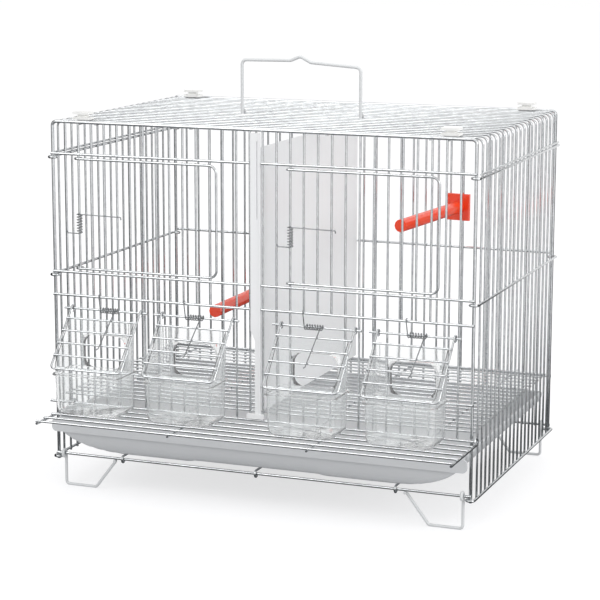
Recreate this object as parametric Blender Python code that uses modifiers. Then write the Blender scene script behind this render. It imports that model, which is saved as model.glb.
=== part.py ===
"""Two-compartment wire breeding cage: welded wire panels hooked together at the corner posts, two sprung
doors, four sprung feeder flaps with clear cups on a front shelf, a pull-out tray, a pull-out divider,
two plastic perches and a folding carrying handle."""

import math

import bmesh
import bpy
from mathutils import Matrix, Vector

# Main sizes, in metres, between the centres of the corner posts
CAGE_WIDTH = 0.400
CAGE_DEPTH = 0.265
ROOF_HEIGHT = 0.341
DOOR_HEAD_DROP = 0.029
DOOR_HEAD_HEIGHT = ROOF_HEIGHT - DOOR_HEAD_DROP
DOOR_SILL_HEIGHT = 0.2035
FEEDER_HEAD_HEIGHT = 0.182
FEEDER_SILL_HEIGHT = 0.1125
FLOOR_RAIL_HEIGHT = 0.0808
BOTTOM_RAIL_HEIGHT = 0.0315

# Wires, as the corner radius of a four-sided section
POST_R = 0.0018
RAIL_R = 0.00135
UPRIGHT_R = 0.00115
DOOR_WIRE_R = 0.00125
FLAP_WIRE_R = 0.00105
HANDLE_R = 0.0016
FOOT_R = 0.0014
SPRING_R = 0.00045
WELD = 0.00045
CLEARANCE = 0.0004
WIRE_OVERHANG = 0.0012
CORNER_R = 0.006

# Spacing of the wires
COLUMNS_PER_HALF = 15
BACK_SPACES = 31
SIDE_SPACES = 20
DIVIDER_SLOT = 0.0123
SLOT_OVERHANG = 0.0007

# Rings that hook one wire round another
RING_TURN = math.radians(265)
RING_STEPS = 7
SIDE_RAIL_DROP = 0.0036

# Feeder openings and doors, as columns counted out from the middle of the front
FEEDERS = {"1": (-1, 9, 13), "2": (-1, 2, 6), "3": (1, 2, 6), "4": (1, 9, 13)}
DOORS = {"left": (-1, 13, 3), "right": (1, 2, 12)}
DOOR_GAP = 0.004
DOOR_OVERLAP = 0.0077
DOOR_CORNER_R = 0.007

AXLE_DROP = 0.012
AXLE_OVERHANG = 0.003
FLAP_WIDTH = 0.0696
FLAP_LENGTH = 0.0655
FLAP_REST = math.radians(42)
FLAP_BARS = 4
FLAP_BAR_OVERHANG = 0.0006
FLAP_CORNER_R = 0.004
FLAP_SHIFT = 0.0014

# Roof, floor grid and feeder shelf
ROOF_STAYS_IN = (0.0256, 0.042, 0.1355)
FLOOR_STAY_COLUMNS = (4.5, 12.5)
SHELF_DEPTH = 0.073
SHELF_BARS = 5
SHELF_STAY_FROM_MIDDLE = 0.065
SHELF_LEFT_IN = 0.0175
SHELF_RIGHT_OUT = 0.0045
FLOOR_RAIL_OVERHANG = 0.0065

# Handle
HANDLE_WIDTH = 0.118
HANDLE_SHIFT = -0.0087
HANDLE_LEFT_HEIGHT = 0.0504
HANDLE_RIGHT_HEIGHT = 0.0462
HANDLE_CORNER_R = 0.006
# The peak's two feet and its tip, each as a place along the handle and a height
HANDLE_PEAK = ((-0.010, 0.0511), (-0.0005, 0.0544), (0.010, 0.0496))

# Feet and tray runners
FOOT_RING_IN = 0.0068
FOOT_GROUND_RUN = 0.031
FOOT_BRACE_IN = 0.059
FOOT_STUB = 0.0015
FOOT_CORNER_R = 0.004
FOOT_SOLE = 0.0001
RUNNERS = {"left": -0.1325, "middle": 0.0, "right": 0.1325}

# Tray
TRAY_WALL = 0.0016
TRAY_RIM_HEIGHT = 0.066
TRAY_SIDE_GAP = 0.0027
TRAY_BACK_GAP = 0.008
TRAY_SIDE_SLOPE = 0.0735
TRAY_END_SLOPE = 0.012
# Where the pan's grid has its lines, as shares of each slope from the rim down to the floor
TRAY_SIDE_LINES = (1, 0.97, 0.88, 0.72, 0.5, 0.25, 0)
TRAY_END_LINES = (1, 0.85, 0.5, 0)
TRAY_SADDLE_WIDTH = 0.120
TRAY_SADDLE_STEP = 0.006
TRAY_SADDLE_RISE = 0.0012
APRON_WIDTH = 0.400
APRON_HEIGHT = 0.012
APRON_THICKNESS = 0.0024
APRON_FORWARD = 0.0118
APRON_CORNER_R = 0.004

# Divider
DIVIDER_THICKNESS = 0.002
DIVIDER_TOP_DROP = 0.016
DIVIDER_BACK_GAP = 0.004
FLANGE_THICKNESS = 0.0016
FLANGE_TOP_GAP = 0.0007
DIVIDER_FOOT_WIDTH = 0.016
DIVIDER_FOOT_HEIGHT = 0.0045
DIVIDER_FOOT_DEPTH = 0.0018

# Cups
CUP_WIDTH = 0.066
CUP_DEPTH = 0.0455
CUP_TOP = 0.161
CUP_WALL = 0.0015
CUP_CORNER_R = 0.009
CUP_DRAFT = 0.002
CUP_LIP_OUT = 0.0015
CUP_LIP_HEIGHT = 0.1164
CUP_LIP_THICKNESS = 0.0012
CUP_HOLE_WIDTH = 0.040
CUP_HOLE_SILL = 0.003
CUP_HOLE_RISE = 0.030

# Springs
SPRING_COIL_R = 0.0023
COIL_STEPS = 6
DOOR_SPRING_TURNS = 8
DOOR_SPRING_LENGTH = 0.0178
DOOR_SPRING_HEIGHT = 0.0362
DOOR_SPRING_LEG = 0.043
DOOR_SPRING_TAIL = 0.0115
FLAP_SPRING_TURNS = 6
FLAP_SPRING_LENGTH = 0.017
FLAP_SPRING_SHIFTS = {"1": 0.0044, "2": -0.0011, "3": -0.0024, "4": 0.0025}
FLAP_SPRING_LEG = 0.041

# Perches
PERCH_LENGTH = 0.139
PERCH_BAR_R = 0.006
PERCH_PLATE = (0.023, 0.0035, 0.026)
PERCHES = {"left": (-0.095, 0.150, 0.0), "right": (0.1065, 0.244, math.radians(6))}

# Stacking clips
CLIP_PLATE = (0.016, 0.011, 0.0022)
CLIP_NECK = (0.008, 0.007, 0.0034)
CLIP_IN = 0.011

# Distances that follow from the sizes above
HALF_WIDTH = CAGE_WIDTH / 2
HALF_SLOT = DIVIDER_SLOT / 2
COLUMN_PITCH = (HALF_WIDTH - HALF_SLOT) / COLUMNS_PER_HALF
SIDE_PITCH = CAGE_DEPTH / SIDE_SPACES
RAIL_LAYER = UPRIGHT_R + RAIL_R - WELD
LIGHT_LAYER = 2 * UPRIGHT_R - WELD
POST_RING_R = POST_R + CLEARANCE + RAIL_R
SIDE_RAIL_X = HALF_WIDTH + POST_RING_R
SIDE_UPRIGHT_X = SIDE_RAIL_X - RAIL_LAYER
SIDE_BOTTOM = BOTTOM_RAIL_HEIGHT - SIDE_RAIL_DROP
SIDE_MIDDLE = DOOR_SILL_HEIGHT - SIDE_RAIL_DROP
SIDE_TOP = DOOR_HEAD_HEIGHT - SIDE_RAIL_DROP
POST_FOOT = SIDE_BOTTOM - RAIL_R - WIRE_OVERHANG
AXLE_HEIGHT = FEEDER_HEAD_HEIGHT - AXLE_DROP
AXLE_Y = -LIGHT_LAYER
FLAP_RING_R = UPRIGHT_R + CLEARANCE + FLAP_WIRE_R
ROOF_RAIL_HEIGHT = SIDE_TOP + 2 * RAIL_R + CLEARANCE
FLOOR_STAY_HEIGHT = FLOOR_RAIL_HEIGHT + RAIL_R + CLEARANCE + UPRIGHT_R
GRID_HEIGHT = FLOOR_STAY_HEIGHT + LIGHT_LAYER
SHELF_RING_R = 2 * RAIL_R + CLEARANCE
SHELF_ARM_HEIGHT = FLOOR_RAIL_HEIGHT - SHELF_RING_R
SHELF_BAR_HEIGHT = SHELF_ARM_HEIGHT + RAIL_LAYER
SHELF_STAY_HEIGHT = SHELF_BAR_HEIGHT - LIGHT_LAYER
RUNNER_HEIGHT = BOTTOM_RAIL_HEIGHT + RAIL_R + CLEARANCE + UPRIGHT_R
TRAY_BOTTOM = RUNNER_HEIGHT + UPRIGHT_R + CLEARANCE
CUP_BOTTOM = SHELF_BAR_HEIGHT + UPRIGHT_R + CLEARANCE
CUP_BACK = -(RAIL_LAYER + RAIL_R + CLEARANCE)
FLANGE_BOTTOM = FLOOR_RAIL_HEIGHT + RAIL_R + CLEARANCE
DIVIDER_BOTTOM = GRID_HEIGHT + UPRIGHT_R + CLEARANCE
DOOR_Y = -(UPRIGHT_R + CLEARANCE + DOOR_WIRE_R)
FOOT_REACH = RAIL_R + CLEARANCE + FOOT_R
FOOT_HALF_FLAT = FOOT_R * math.sqrt(0.5)
ROOF_STAYS = [side * (HALF_WIDTH - inset) for side in (-1, 1) for inset in ROOF_STAYS_IN]
CLIP_X = HALF_WIDTH - ROOF_STAYS_IN[0]
FRONT_REACH = SHELF_DEPTH + WIRE_OVERHANG
BACK_REACH = CAGE_DEPTH + RAIL_LAYER + FOOT_REACH + FOOT_HALF_FLAT

# The shapes below are set out from the front panel's plane, then moved so that the origin is central
CENTRING = Vector((0, (FRONT_REACH - BACK_REACH) / 2, 0))

X, Y, Z = Vector((1, 0, 0)), Vector((0, 1, 0)), Vector((0, 0, 1))


# Helpers for meshes and objects

def clear_scene():
    for obj in list(bpy.data.objects):
        bpy.data.objects.remove(obj, do_unlink=True)


def new_collection(name, shown):
    collection = bpy.data.collections.new(name)
    collection.hide_render = not shown
    bpy.context.scene.collection.children.link(collection)
    return collection


def new_material(name, colour, roughness, metallic=0.0, alpha=1.0):
    material = bpy.data.materials.new(name)
    material.use_nodes = True
    shader = material.node_tree.nodes["Principled BSDF"]
    shader.inputs["Base Color"].default_value = (*colour, 1)
    shader.inputs["Roughness"].default_value = roughness
    shader.inputs["Metallic"].default_value = metallic
    shader.inputs["Alpha"].default_value = alpha
    return material


def add_part(name, mesh, material, origin=(0, 0, 0)):
    """An object of the model, with its origin on its joint's axis where it has one."""
    mesh.transform(Matrix.Translation(-Vector(origin)))
    mesh.materials.append(material)
    part = bpy.data.objects.new(name, mesh)
    part.location = Vector(origin) + CENTRING
    PARTS.objects.link(part)
    return part


def combine(part, mesh, label, operation):
    """Joins a mesh to a part, or cuts it out, with a Boolean on a hidden helper."""
    helper = bpy.data.objects.new(f"{part.name}_{label}", mesh)
    helper.location = CENTRING
    helper.hide_render = True
    helper.display_type = "WIRE"
    CUTTERS.objects.link(helper)
    modifier = part.modifiers.new(label, "BOOLEAN")
    modifier.operation = operation
    modifier.object = helper


def join(part, mesh, label):
    combine(part, mesh, label, "UNION")


def cut(part, mesh, label):
    combine(part, mesh, label, "DIFFERENCE")


def mesh_from(build):
    """A mesh made by a function that fills a bmesh."""
    made = bmesh.new()
    build(made)
    bmesh.ops.recalc_face_normals(made, faces=made.faces)
    mesh = bpy.data.meshes.new("shape")
    made.to_mesh(mesh)
    made.free()
    return mesh


def box_mesh(low, high):
    low, high = Vector(low), Vector(high)
    size = Matrix.Diagonal((*(high - low), 1))

    def build(made):
        bmesh.ops.create_cube(made, size=1, matrix=Matrix.Translation((low + high) / 2) @ size)

    return mesh_from(build)


def prism_mesh(outline, depth):
    """A flat outline swept straight along the depth vector."""

    def build(made):
        face = made.faces.new([made.verts.new(point) for point in outline])
        swept = bmesh.ops.extrude_face_region(made, geom=[face])["geom"]
        moved = [item for item in swept if isinstance(item, bmesh.types.BMVert)]
        bmesh.ops.translate(made, verts=moved, vec=depth)

    return mesh_from(build)


# Helpers for wires

def ring(centre, radius, across, along, start, stop, steps=RING_STEPS):
    """Points of an arc: at angle 0 it stands off the centre along across, and heads along."""
    angles = [start + (stop - start) * i / steps for i in range(steps + 1)]
    return [Vector(centre) + radius * (math.cos(a) * across + math.sin(a) * along) for a in angles]


def rounded(points, radius, steps=2):
    """The polyline with each inner corner turned into an arc of this radius."""
    points = [Vector(point) for point in points]
    made = [points[0]]
    for before, corner, after in zip(points, points[1:], points[2:]):
        back, ahead = (before - corner).normalized(), (after - corner).normalized()
        half = back.angle(ahead) / 2
        centre = corner + (back + ahead).normalized() * radius / math.sin(half)
        first = (corner + back * radius / math.tan(half) - centre).normalized()
        last = (corner + ahead * radius / math.tan(half) - centre).normalized()
        made += [centre + first.slerp(last, i / steps) * radius for i in range(steps + 1)]
    made.append(points[-1])
    return made


def wire_mesh(paths, radius, sides=4, turn=0.0):
    """Wires of one thickness, each along its own path, as one mesh with its caps welded.
    The turn is that of the section about the wire: 45 degrees lays a four-sided wire on its flat."""
    curve = bpy.data.curves.new("wires", "CURVE")
    curve.dimensions = "3D"
    curve.bevel_depth = radius
    curve.bevel_resolution = (sides - 4) // 2
    curve.use_fill_caps = True
    for path in paths:
        spline = curve.splines.new("POLY")
        spline.points.add(len(path) - 1)
        for point, place in zip(spline.points, path):
            point.co = (*place, 1)
            point.tilt = turn
    holder = bpy.data.objects.new("wires", curve)
    bpy.context.scene.collection.objects.link(holder)
    graph = bpy.context.evaluated_depsgraph_get()
    mesh = bpy.data.meshes.new_from_object(holder.evaluated_get(graph))
    bpy.data.objects.remove(holder)
    made = bmesh.new()
    made.from_mesh(mesh)
    bmesh.ops.remove_doubles(made, verts=made.verts, dist=1e-6)
    made.to_mesh(mesh)
    made.free()
    return mesh


def coil(centre, radius, axis, across, along, length, turns):
    """Points of a helix round an axis, starting across from the centre and turning towards along."""
    steps = turns * COIL_STEPS
    start = Vector(centre) - axis * length / 2
    made = []
    for i in range(steps + 1):
        angle = 2 * math.pi * i / COIL_STEPS
        out = math.cos(angle) * across + math.sin(angle) * along
        made.append(start + axis * length * i / steps + out * radius)
    return made


# Places on the front

def column(side, count):
    """The X of an upright, counted out from the divider's slot."""
    return side * (HALF_SLOT + count * COLUMN_PITCH)


def crosses_opening(side, count, low):
    """Whether the stretch of an upright that starts at this height would cross a door or a feeder."""
    openings = FEEDERS if low == FEEDER_SILL_HEIGHT else DOORS if low == DOOR_SILL_HEIGHT else {}
    return any(
        side == its_side and min(first, last) < count < max(first, last)
        for its_side, first, last in openings.values()
    )


def upright_spans(side, count):
    """The heights between which a front upright runs, as pairs, with the openings left out."""
    levels = [
        FLOOR_RAIL_HEIGHT, FEEDER_SILL_HEIGHT, FEEDER_HEAD_HEIGHT,
        DOOR_SILL_HEIGHT, DOOR_HEAD_HEIGHT, ROOF_HEIGHT,
    ]
    spans = []
    for low, high in zip(levels, levels[1:]):
        if crosses_opening(side, count, low):
            continue
        if spans and spans[-1][1] == low:
            spans[-1][1] = high
        else:
            spans.append([low, high])
    return spans


def upright(x, y, low, high):
    """A vertical wire that stands a little past the rails at its ends, or ends inside the top wire."""
    top = high if high == ROOF_HEIGHT else high + WIRE_OVERHANG
    return [Vector((x, y, low - WIRE_OVERHANG)), Vector((x, y, top))]


def end_frame(y):
    """Both corner posts and the top wire of a front or back panel, as one bent wire."""
    foot, head = POST_FOOT, ROOF_HEIGHT
    corners = [(-HALF_WIDTH, y, foot), (-HALF_WIDTH, y, head), (HALF_WIDTH, y, head), (HALF_WIDTH, y, foot)]
    return rounded(corners, CORNER_R)


# Panels

def front_panel():
    uprights = [
        upright(column(side, count), 0, low, high)
        for side in (-1, 1)
        for count in range(COLUMNS_PER_HALF)
        for low, high in upright_spans(side, count)
    ]
    y = -RAIL_LAYER
    end = HALF_WIDTH + WIRE_OVERHANG
    rails = [[(-end, y, BOTTOM_RAIL_HEIGHT), (end, y, BOTTOM_RAIL_HEIGHT)]]
    floor_end = HALF_WIDTH + FLOOR_RAIL_OVERHANG
    rails.append([(-floor_end, y, FLOOR_RAIL_HEIGHT), (floor_end, y, FLOOR_RAIL_HEIGHT)])
    inner_end = HALF_SLOT - SLOT_OVERHANG
    for height in (FEEDER_SILL_HEIGHT, FEEDER_HEAD_HEIGHT, DOOR_SILL_HEIGHT, DOOR_HEAD_HEIGHT):
        for side in (-1, 1):
            rails.append([(side * inner_end, y, height), (side * end, y, height)])
    axles = []
    for side, first, last in FEEDERS.values():
        ends = sorted((column(side, first - 1), column(side, last + 1)))
        low, high = ends[0] - AXLE_OVERHANG, ends[1] + AXLE_OVERHANG
        axles.append([(low, AXLE_Y, AXLE_HEIGHT), (high, AXLE_Y, AXLE_HEIGHT)])
    part = add_part("front_panel", wire_mesh([end_frame(0)], POST_R), WIRE)
    join(part, wire_mesh(uprights, UPRIGHT_R), "uprights")
    join(part, wire_mesh(rails, RAIL_R), "rails")
    join(part, wire_mesh(axles, UPRIGHT_R), "axles")


def back_panel():
    y = CAGE_DEPTH
    xs = [CAGE_WIDTH * i / BACK_SPACES - HALF_WIDTH for i in range(1, BACK_SPACES)]
    uprights = [upright(x, y, BOTTOM_RAIL_HEIGHT, ROOF_HEIGHT) for x in xs]
    end = HALF_WIDTH + WIRE_OVERHANG
    heights = (BOTTOM_RAIL_HEIGHT, FLOOR_RAIL_HEIGHT, DOOR_SILL_HEIGHT)
    rails = [[(-end, y + RAIL_LAYER, height), (end, y + RAIL_LAYER, height)] for height in heights]
    part = add_part("back_panel", wire_mesh([end_frame(y)], POST_R), WIRE)
    join(part, wire_mesh(uprights, UPRIGHT_R), "uprights")
    join(part, wire_mesh(rails, RAIL_R), "rails")


def hooked_rail(side, height):
    """A side rail whose ends are bent round the front and back corner posts."""
    out = X * side
    front, back = (side * HALF_WIDTH, 0, height), (side * HALF_WIDTH, CAGE_DEPTH, height)
    return (
        ring(front, POST_RING_R, out, Y, -RING_TURN, 0)
        + ring(back, POST_RING_R, out, Y, 0, RING_TURN)
    )


def side_panel(name, side):
    uprights = [
        upright(side * SIDE_UPRIGHT_X, SIDE_PITCH * i, SIDE_BOTTOM, SIDE_TOP) for i in range(1, SIDE_SPACES)
    ]
    rails = [hooked_rail(side, height) for height in (SIDE_BOTTOM, SIDE_MIDDLE, SIDE_TOP)]
    part = add_part(name, wire_mesh(rails, RAIL_R), WIRE)
    join(part, wire_mesh(uprights, UPRIGHT_R), "uprights")


def roof_panel():
    foot = ROOF_RAIL_HEIGHT - WIRE_OVERHANG
    wires = []
    for i in range(1, SIDE_SPACES):
        y = SIDE_PITCH * i
        corners = [(-SIDE_UPRIGHT_X, y, foot), (-SIDE_UPRIGHT_X, y, ROOF_HEIGHT),
                   (SIDE_UPRIGHT_X, y, ROOF_HEIGHT), (SIDE_UPRIGHT_X, y, foot)]
        wires.append(rounded(corners, CORNER_R))
    start = POST_R + CLEARANCE
    end = CAGE_DEPTH - start
    rails = [[(side * SIDE_RAIL_X, start, ROOF_RAIL_HEIGHT), (side * SIDE_RAIL_X, end, ROOF_RAIL_HEIGHT)]
             for side in (-1, 1)]
    height = ROOF_HEIGHT - LIGHT_LAYER
    stays = [[(x, start, height), (x, end, height)] for x in ROOF_STAYS]
    part = add_part("roof_panel", wire_mesh(wires, UPRIGHT_R), WIRE)
    join(part, wire_mesh(rails, RAIL_R), "side_rails")
    join(part, wire_mesh(stays, UPRIGHT_R), "stays")


def floor_grid():
    """The wire floor: its stays rest on the front and back floor rails, between the uprights."""
    end = SIDE_UPRIGHT_X - UPRIGHT_R - 2 * CLEARANCE
    wires = []
    for i in range(1, SIDE_SPACES):
        y = SIDE_PITCH * i
        wires.append([(-end, y, GRID_HEIGHT), (end, y, GRID_HEIGHT)])
    first, last = -RAIL_LAYER - RAIL_R / 2, CAGE_DEPTH + RAIL_LAYER + RAIL_R
    stays = []
    for side in (-1, 1):
        for count in FLOOR_STAY_COLUMNS:
            x = column(side, count)
            stays.append([(x, first, FLOOR_STAY_HEIGHT), (x, last, FLOOR_STAY_HEIGHT)])
    part = add_part("floor_grid", wire_mesh(wires, UPRIGHT_R), WIRE)
    join(part, wire_mesh(stays, UPRIGHT_R), "stays")


def feeder_shelf():
    """The shelf for the cups: its arms end in eyes round the front panel's floor rail, the right one outside
    the corner post and the left one inside."""
    left, right = -HALF_WIDTH + SHELF_LEFT_IN, HALF_WIDTH + SHELF_RIGHT_OUT
    front = -SHELF_DEPTH - WIRE_OVERHANG
    arms = []
    for x in (left, right):
        eye = ring((x, -RAIL_LAYER, FLOOR_RAIL_HEIGHT), SHELF_RING_R, -Z, -Y, -RING_TURN, 0)
        arms.append(eye + [Vector((x, front, SHELF_ARM_HEIGHT))])
    bars = []
    for i in range(SHELF_BARS):
        y = -SHELF_DEPTH * (i + 1) / SHELF_BARS
        bars.append([(left - WIRE_OVERHANG, y, SHELF_BAR_HEIGHT), (right + WIRE_OVERHANG, y, SHELF_BAR_HEIGHT)])
    inner = -SHELF_DEPTH / SHELF_BARS + WIRE_OVERHANG
    middle = (left + right) / 2
    stays = [[(x, front, SHELF_STAY_HEIGHT), (x, inner, SHELF_STAY_HEIGHT)]
             for x in (middle - SHELF_STAY_FROM_MIDDLE, middle + SHELF_STAY_FROM_MIDDLE)]
    part = add_part("feeder_shelf", wire_mesh(arms, RAIL_R), WIRE)
    join(part, wire_mesh(bars, UPRIGHT_R), "bars")
    join(part, wire_mesh(stays, UPRIGHT_R), "stays")


# Feet and runners

def foot(name, side, y, inwards):
    """A bent wire foot: an eye on the bottom rail, a leg, a short run pressed flat on the ground, and a brace
    whose end is bent under the rail."""
    leg_x, brace_x = side * (HALF_WIDTH - FOOT_RING_IN), side * (HALF_WIDTH - FOOT_BRACE_IN)
    plane_y = y + inwards.y * FOOT_REACH
    eye = ring((leg_x, y, BOTTOM_RAIL_HEIGHT), FOOT_REACH, inwards, -Z, -RING_TURN, 0)
    toe_x = leg_x - side * FOOT_GROUND_RUN
    under = BOTTOM_RAIL_HEIGHT - RAIL_R - CLEARANCE - FOOT_HALF_FLAT
    ground = FOOT_HALF_FLAT - FOOT_SOLE
    corners = [eye[-1], (leg_x, plane_y, ground), (toe_x, plane_y, ground),
               (brace_x, plane_y, under), (brace_x, y - inwards.y * FOOT_STUB, under)]
    path = eye[:-1] + rounded(corners, FOOT_CORNER_R)
    part = add_part(name, wire_mesh([path], FOOT_R, turn=math.radians(45)), WIRE)
    low, high = sorted((leg_x + side * 2 * FOOT_R, brace_x))
    cut(part, box_mesh((low, plane_y - 2 * FOOT_R, -FOOT_R), (high, plane_y + 2 * FOOT_R, 0)), "sole")


def runner(name, x):
    """A straight wire under the tray, hooked round the front and back bottom rails."""
    reach = RAIL_R + CLEARANCE + UPRIGHT_R
    front = ring((x, -RAIL_LAYER, BOTTOM_RAIL_HEIGHT), reach, Z, Y, -RING_TURN, 0)
    back = ring((x, CAGE_DEPTH + RAIL_LAYER, BOTTOM_RAIL_HEIGHT), reach, Z, Y, 0, RING_TURN)
    add_part(name, wire_mesh([front + back], UPRIGHT_R), WIRE)


# Tray

def tray_surface():
    """A shallow pan as a grid: long sloping ends, steep front and back, and a raised saddle in the middle."""
    half_x = HALF_WIDTH - POST_R - TRAY_SIDE_GAP
    front = -APRON_FORWARD
    back = CAGE_DEPTH - TRAY_BACK_GAP
    middle, half_y = (front + back) / 2, (back - front) / 2
    saddle = TRAY_SADDLE_WIDTH / 2
    xs = [half_x - TRAY_SIDE_SLOPE * (1 - share) for share in TRAY_SIDE_LINES]
    xs += [saddle + TRAY_SADDLE_STEP, saddle]
    xs = [-x for x in xs] + xs[::-1]
    ys = [half_y - TRAY_END_SLOPE * (1 - share) for share in TRAY_END_LINES]
    ys = [-y for y in ys] + ys[::-1]

    def height(x, y):
        level = TRAY_BOTTOM + (TRAY_SADDLE_RISE if abs(x) <= saddle else 0)
        share_x = (abs(x) - half_x) / TRAY_SIDE_SLOPE + 1
        share_y = (abs(y) - half_y) / TRAY_END_SLOPE + 1
        share = min(1, max(0, share_x, share_y))
        return level + (TRAY_RIM_HEIGHT - level) * (1 - math.sqrt(1 - share * share))

    def build(made):
        grid = bmesh.ops.create_grid(made, x_segments=len(xs) - 1, y_segments=len(ys) - 1, size=0.5)
        for vert in grid["verts"]:
            x = xs[round((vert.co.x + 0.5) * (len(xs) - 1))]
            y = ys[round((vert.co.y + 0.5) * (len(ys) - 1))]
            vert.co = (x, middle + y, height(x, y))

    return mesh_from(build)


def tray():
    part = add_part("tray", tray_surface(), TRAY_PAINT, origin=(0, -APRON_FORWARD, TRAY_RIM_HEIGHT))
    shell = part.modifiers.new("wall", "SOLIDIFY")
    shell.thickness = TRAY_WALL
    shell.offset = 1
    top = TRAY_RIM_HEIGHT + TRAY_WALL / 2
    half, y = APRON_WIDTH / 2, -APRON_FORWARD - APRON_THICKNESS / 2
    corners = [(0, y, top), (half, y, top), (half, y, top - APRON_HEIGHT), (-half, y, top - APRON_HEIGHT),
               (-half, y, top), (0, y, top)]
    outline = rounded(corners, APRON_CORNER_R)[1:-1]
    join(part, prism_mesh(outline, Y * APRON_THICKNESS), "apron")


# Divider

def divider():
    """A thin sheet across the cage behind a flange that fills the front panel's slot."""
    half = HALF_SLOT - UPRIGHT_R - CLEARANCE
    top = ROOF_HEIGHT - POST_R - FLANGE_TOP_GAP
    back = -RAIL_LAYER + FLANGE_THICKNESS / 2
    front = back - FLANGE_THICKNESS
    sheet = box_mesh((-DIVIDER_THICKNESS / 2, back - FLANGE_THICKNESS / 2, DIVIDER_BOTTOM),
                     (DIVIDER_THICKNESS / 2, CAGE_DEPTH - UPRIGHT_R - DIVIDER_BACK_GAP, ROOF_HEIGHT - DIVIDER_TOP_DROP))
    part = add_part("divider", sheet, DIVIDER_PLASTIC)
    join(part, box_mesh((-half, front, FLANGE_BOTTOM), (half, back, top)), "flange")
    toe = DIVIDER_FOOT_WIDTH / 2
    join(part, box_mesh((-toe, front - DIVIDER_FOOT_DEPTH, FLANGE_BOTTOM),
                        (toe, front + WELD, FLANGE_BOTTOM + DIVIDER_FOOT_HEIGHT)), "toe")


# Doors and their springs

def door(name, side, hinge, latch):
    """A door hung on one upright: its frame wire ends in two eyes, and laps over the last upright."""
    hinge_x, far_x = column(side, hinge), column(side, latch)
    low, high = DOOR_SILL_HEIGHT + DOOR_GAP, DOOR_HEAD_HEIGHT - DOOR_GAP
    edge_x = far_x + DOOR_OVERLAP
    reach = -DOOR_Y
    bottom_eye = ring((hinge_x, 0, low), reach, -Y, X, -RING_TURN, 0)
    top_eye = ring((hinge_x, 0, high), reach, -Y, X, -RING_TURN, 0)[::-1]
    corners = [bottom_eye[-1], (edge_x, DOOR_Y, low), (edge_x, DOOR_Y, high), top_eye[0]]
    frame = bottom_eye[:-1] + rounded(corners, DOOR_CORNER_R) + top_eye[1:]
    first, last = sorted((hinge, latch))
    bar_y = DOOR_Y + DOOR_WIRE_R + UPRIGHT_R - WELD
    bars = [upright(column(side, count), bar_y, low, high) for count in range(first + 1, last)]
    part = add_part(name, wire_mesh([frame], DOOR_WIRE_R), WIRE, origin=(hinge_x, 0, low))
    join(part, wire_mesh(bars, UPRIGHT_R), "bars")


def door_spring(name, side, hinge):
    """A torsion spring round the hinge upright: one leg lies over the door, the other behind the next upright."""
    x = column(side, hinge)
    centre = (x, 0, DOOR_SILL_HEIGHT + DOOR_SPRING_HEIGHT + DOOR_SPRING_LENGTH / 2)
    turns = coil(centre, SPRING_COIL_R, Z, -Y, X, DOOR_SPRING_LENGTH, DOOR_SPRING_TURNS)
    bar_front = DOOR_Y + DOOR_WIRE_R - WELD
    leg_y = bar_front - CLEARANCE - SPRING_R
    leg = Vector((x + DOOR_SPRING_LEG, leg_y, turns[-1].z))
    bend = Vector((x + SPRING_COIL_R, leg_y, turns[-1].z))
    tail = Vector((x - DOOR_SPRING_TAIL, -UPRIGHT_R - CLEARANCE - SPRING_R, turns[0].z))
    add_part(name, wire_mesh([[tail] + turns + [bend, leg]], SPRING_R), SPRING_STEEL)


# Feeder flaps, their springs and the cups

def flap_frame(side, first, last):
    """The middle of a feeder's axle, and the directions down the resting flap and out of it."""
    x = (column(side, first) + column(side, last)) / 2
    down = Vector((0, -math.sin(FLAP_REST), -math.cos(FLAP_REST)))
    outwards = Vector((0, -math.cos(FLAP_REST), math.sin(FLAP_REST)))
    return Vector((x, AXLE_Y, AXLE_HEIGHT)), down, outwards


def flap(name, side, first, last):
    """A flap hung on its axle by two eyes, lying over the cup below it."""
    pivot, down, outwards = flap_frame(side, first, last)
    pivot += X * FLAP_SHIFT
    half = X * (FLAP_WIDTH / 2)
    left_eye = ring(pivot - half, FLAP_RING_R, outwards, down, -RING_TURN, 0)
    right_eye = ring(pivot + half, FLAP_RING_R, outwards, down, -RING_TURN, 0)[::-1]
    tip = down * FLAP_LENGTH
    corners = [left_eye[-1], left_eye[-1] + tip, right_eye[0] + tip, right_eye[0]]
    frame = left_eye[:-1] + rounded(corners, FLAP_CORNER_R) + right_eye[1:]
    lift = outwards * (FLAP_RING_R + 2 * FLAP_WIRE_R - WELD)
    reach = half + X * FLAP_BAR_OVERHANG
    bars = []
    for i in range(FLAP_BARS):
        place = pivot + lift + tip * (i + 1) / (FLAP_BARS + 1)
        bars.append([place - reach, place + reach])
    part = add_part(name, wire_mesh([frame], FLAP_WIRE_R), WIRE, origin=pivot)
    join(part, wire_mesh(bars, FLAP_WIRE_R), "bars")


def flap_spring(name, shift, side, first, last):
    """A torsion spring on the axle: one leg hooks over the rail above, the other lies down the flap."""
    pivot, down, outwards = flap_frame(side, first, last)
    centre = pivot + X * shift
    turns = coil(centre, SPRING_COIL_R, X, -Y, -Z, FLAP_SPRING_LENGTH, FLAP_SPRING_TURNS)
    over = FLAP_RING_R + 3 * FLAP_WIRE_R - WELD + CLEARANCE + SPRING_R
    shoulder = Vector((turns[-1].x, *(pivot + outwards * over + down * SPRING_COIL_R).yz))
    tip = shoulder + down * FLAP_SPRING_LEG
    rail_y = -RAIL_LAYER - RAIL_R - CLEARANCE - SPRING_R
    top = FEEDER_HEAD_HEIGHT + RAIL_R + CLEARANCE + SPRING_R
    start_x = turns[0].x
    hook = [Vector((start_x, -RAIL_LAYER, top)), Vector((start_x, rail_y, top)),
            Vector((start_x, rail_y, FEEDER_HEAD_HEIGHT - RAIL_R))]
    add_part(name, wire_mesh([hook + turns + [shoulder, tip]], SPRING_R), SPRING_STEEL)


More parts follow.
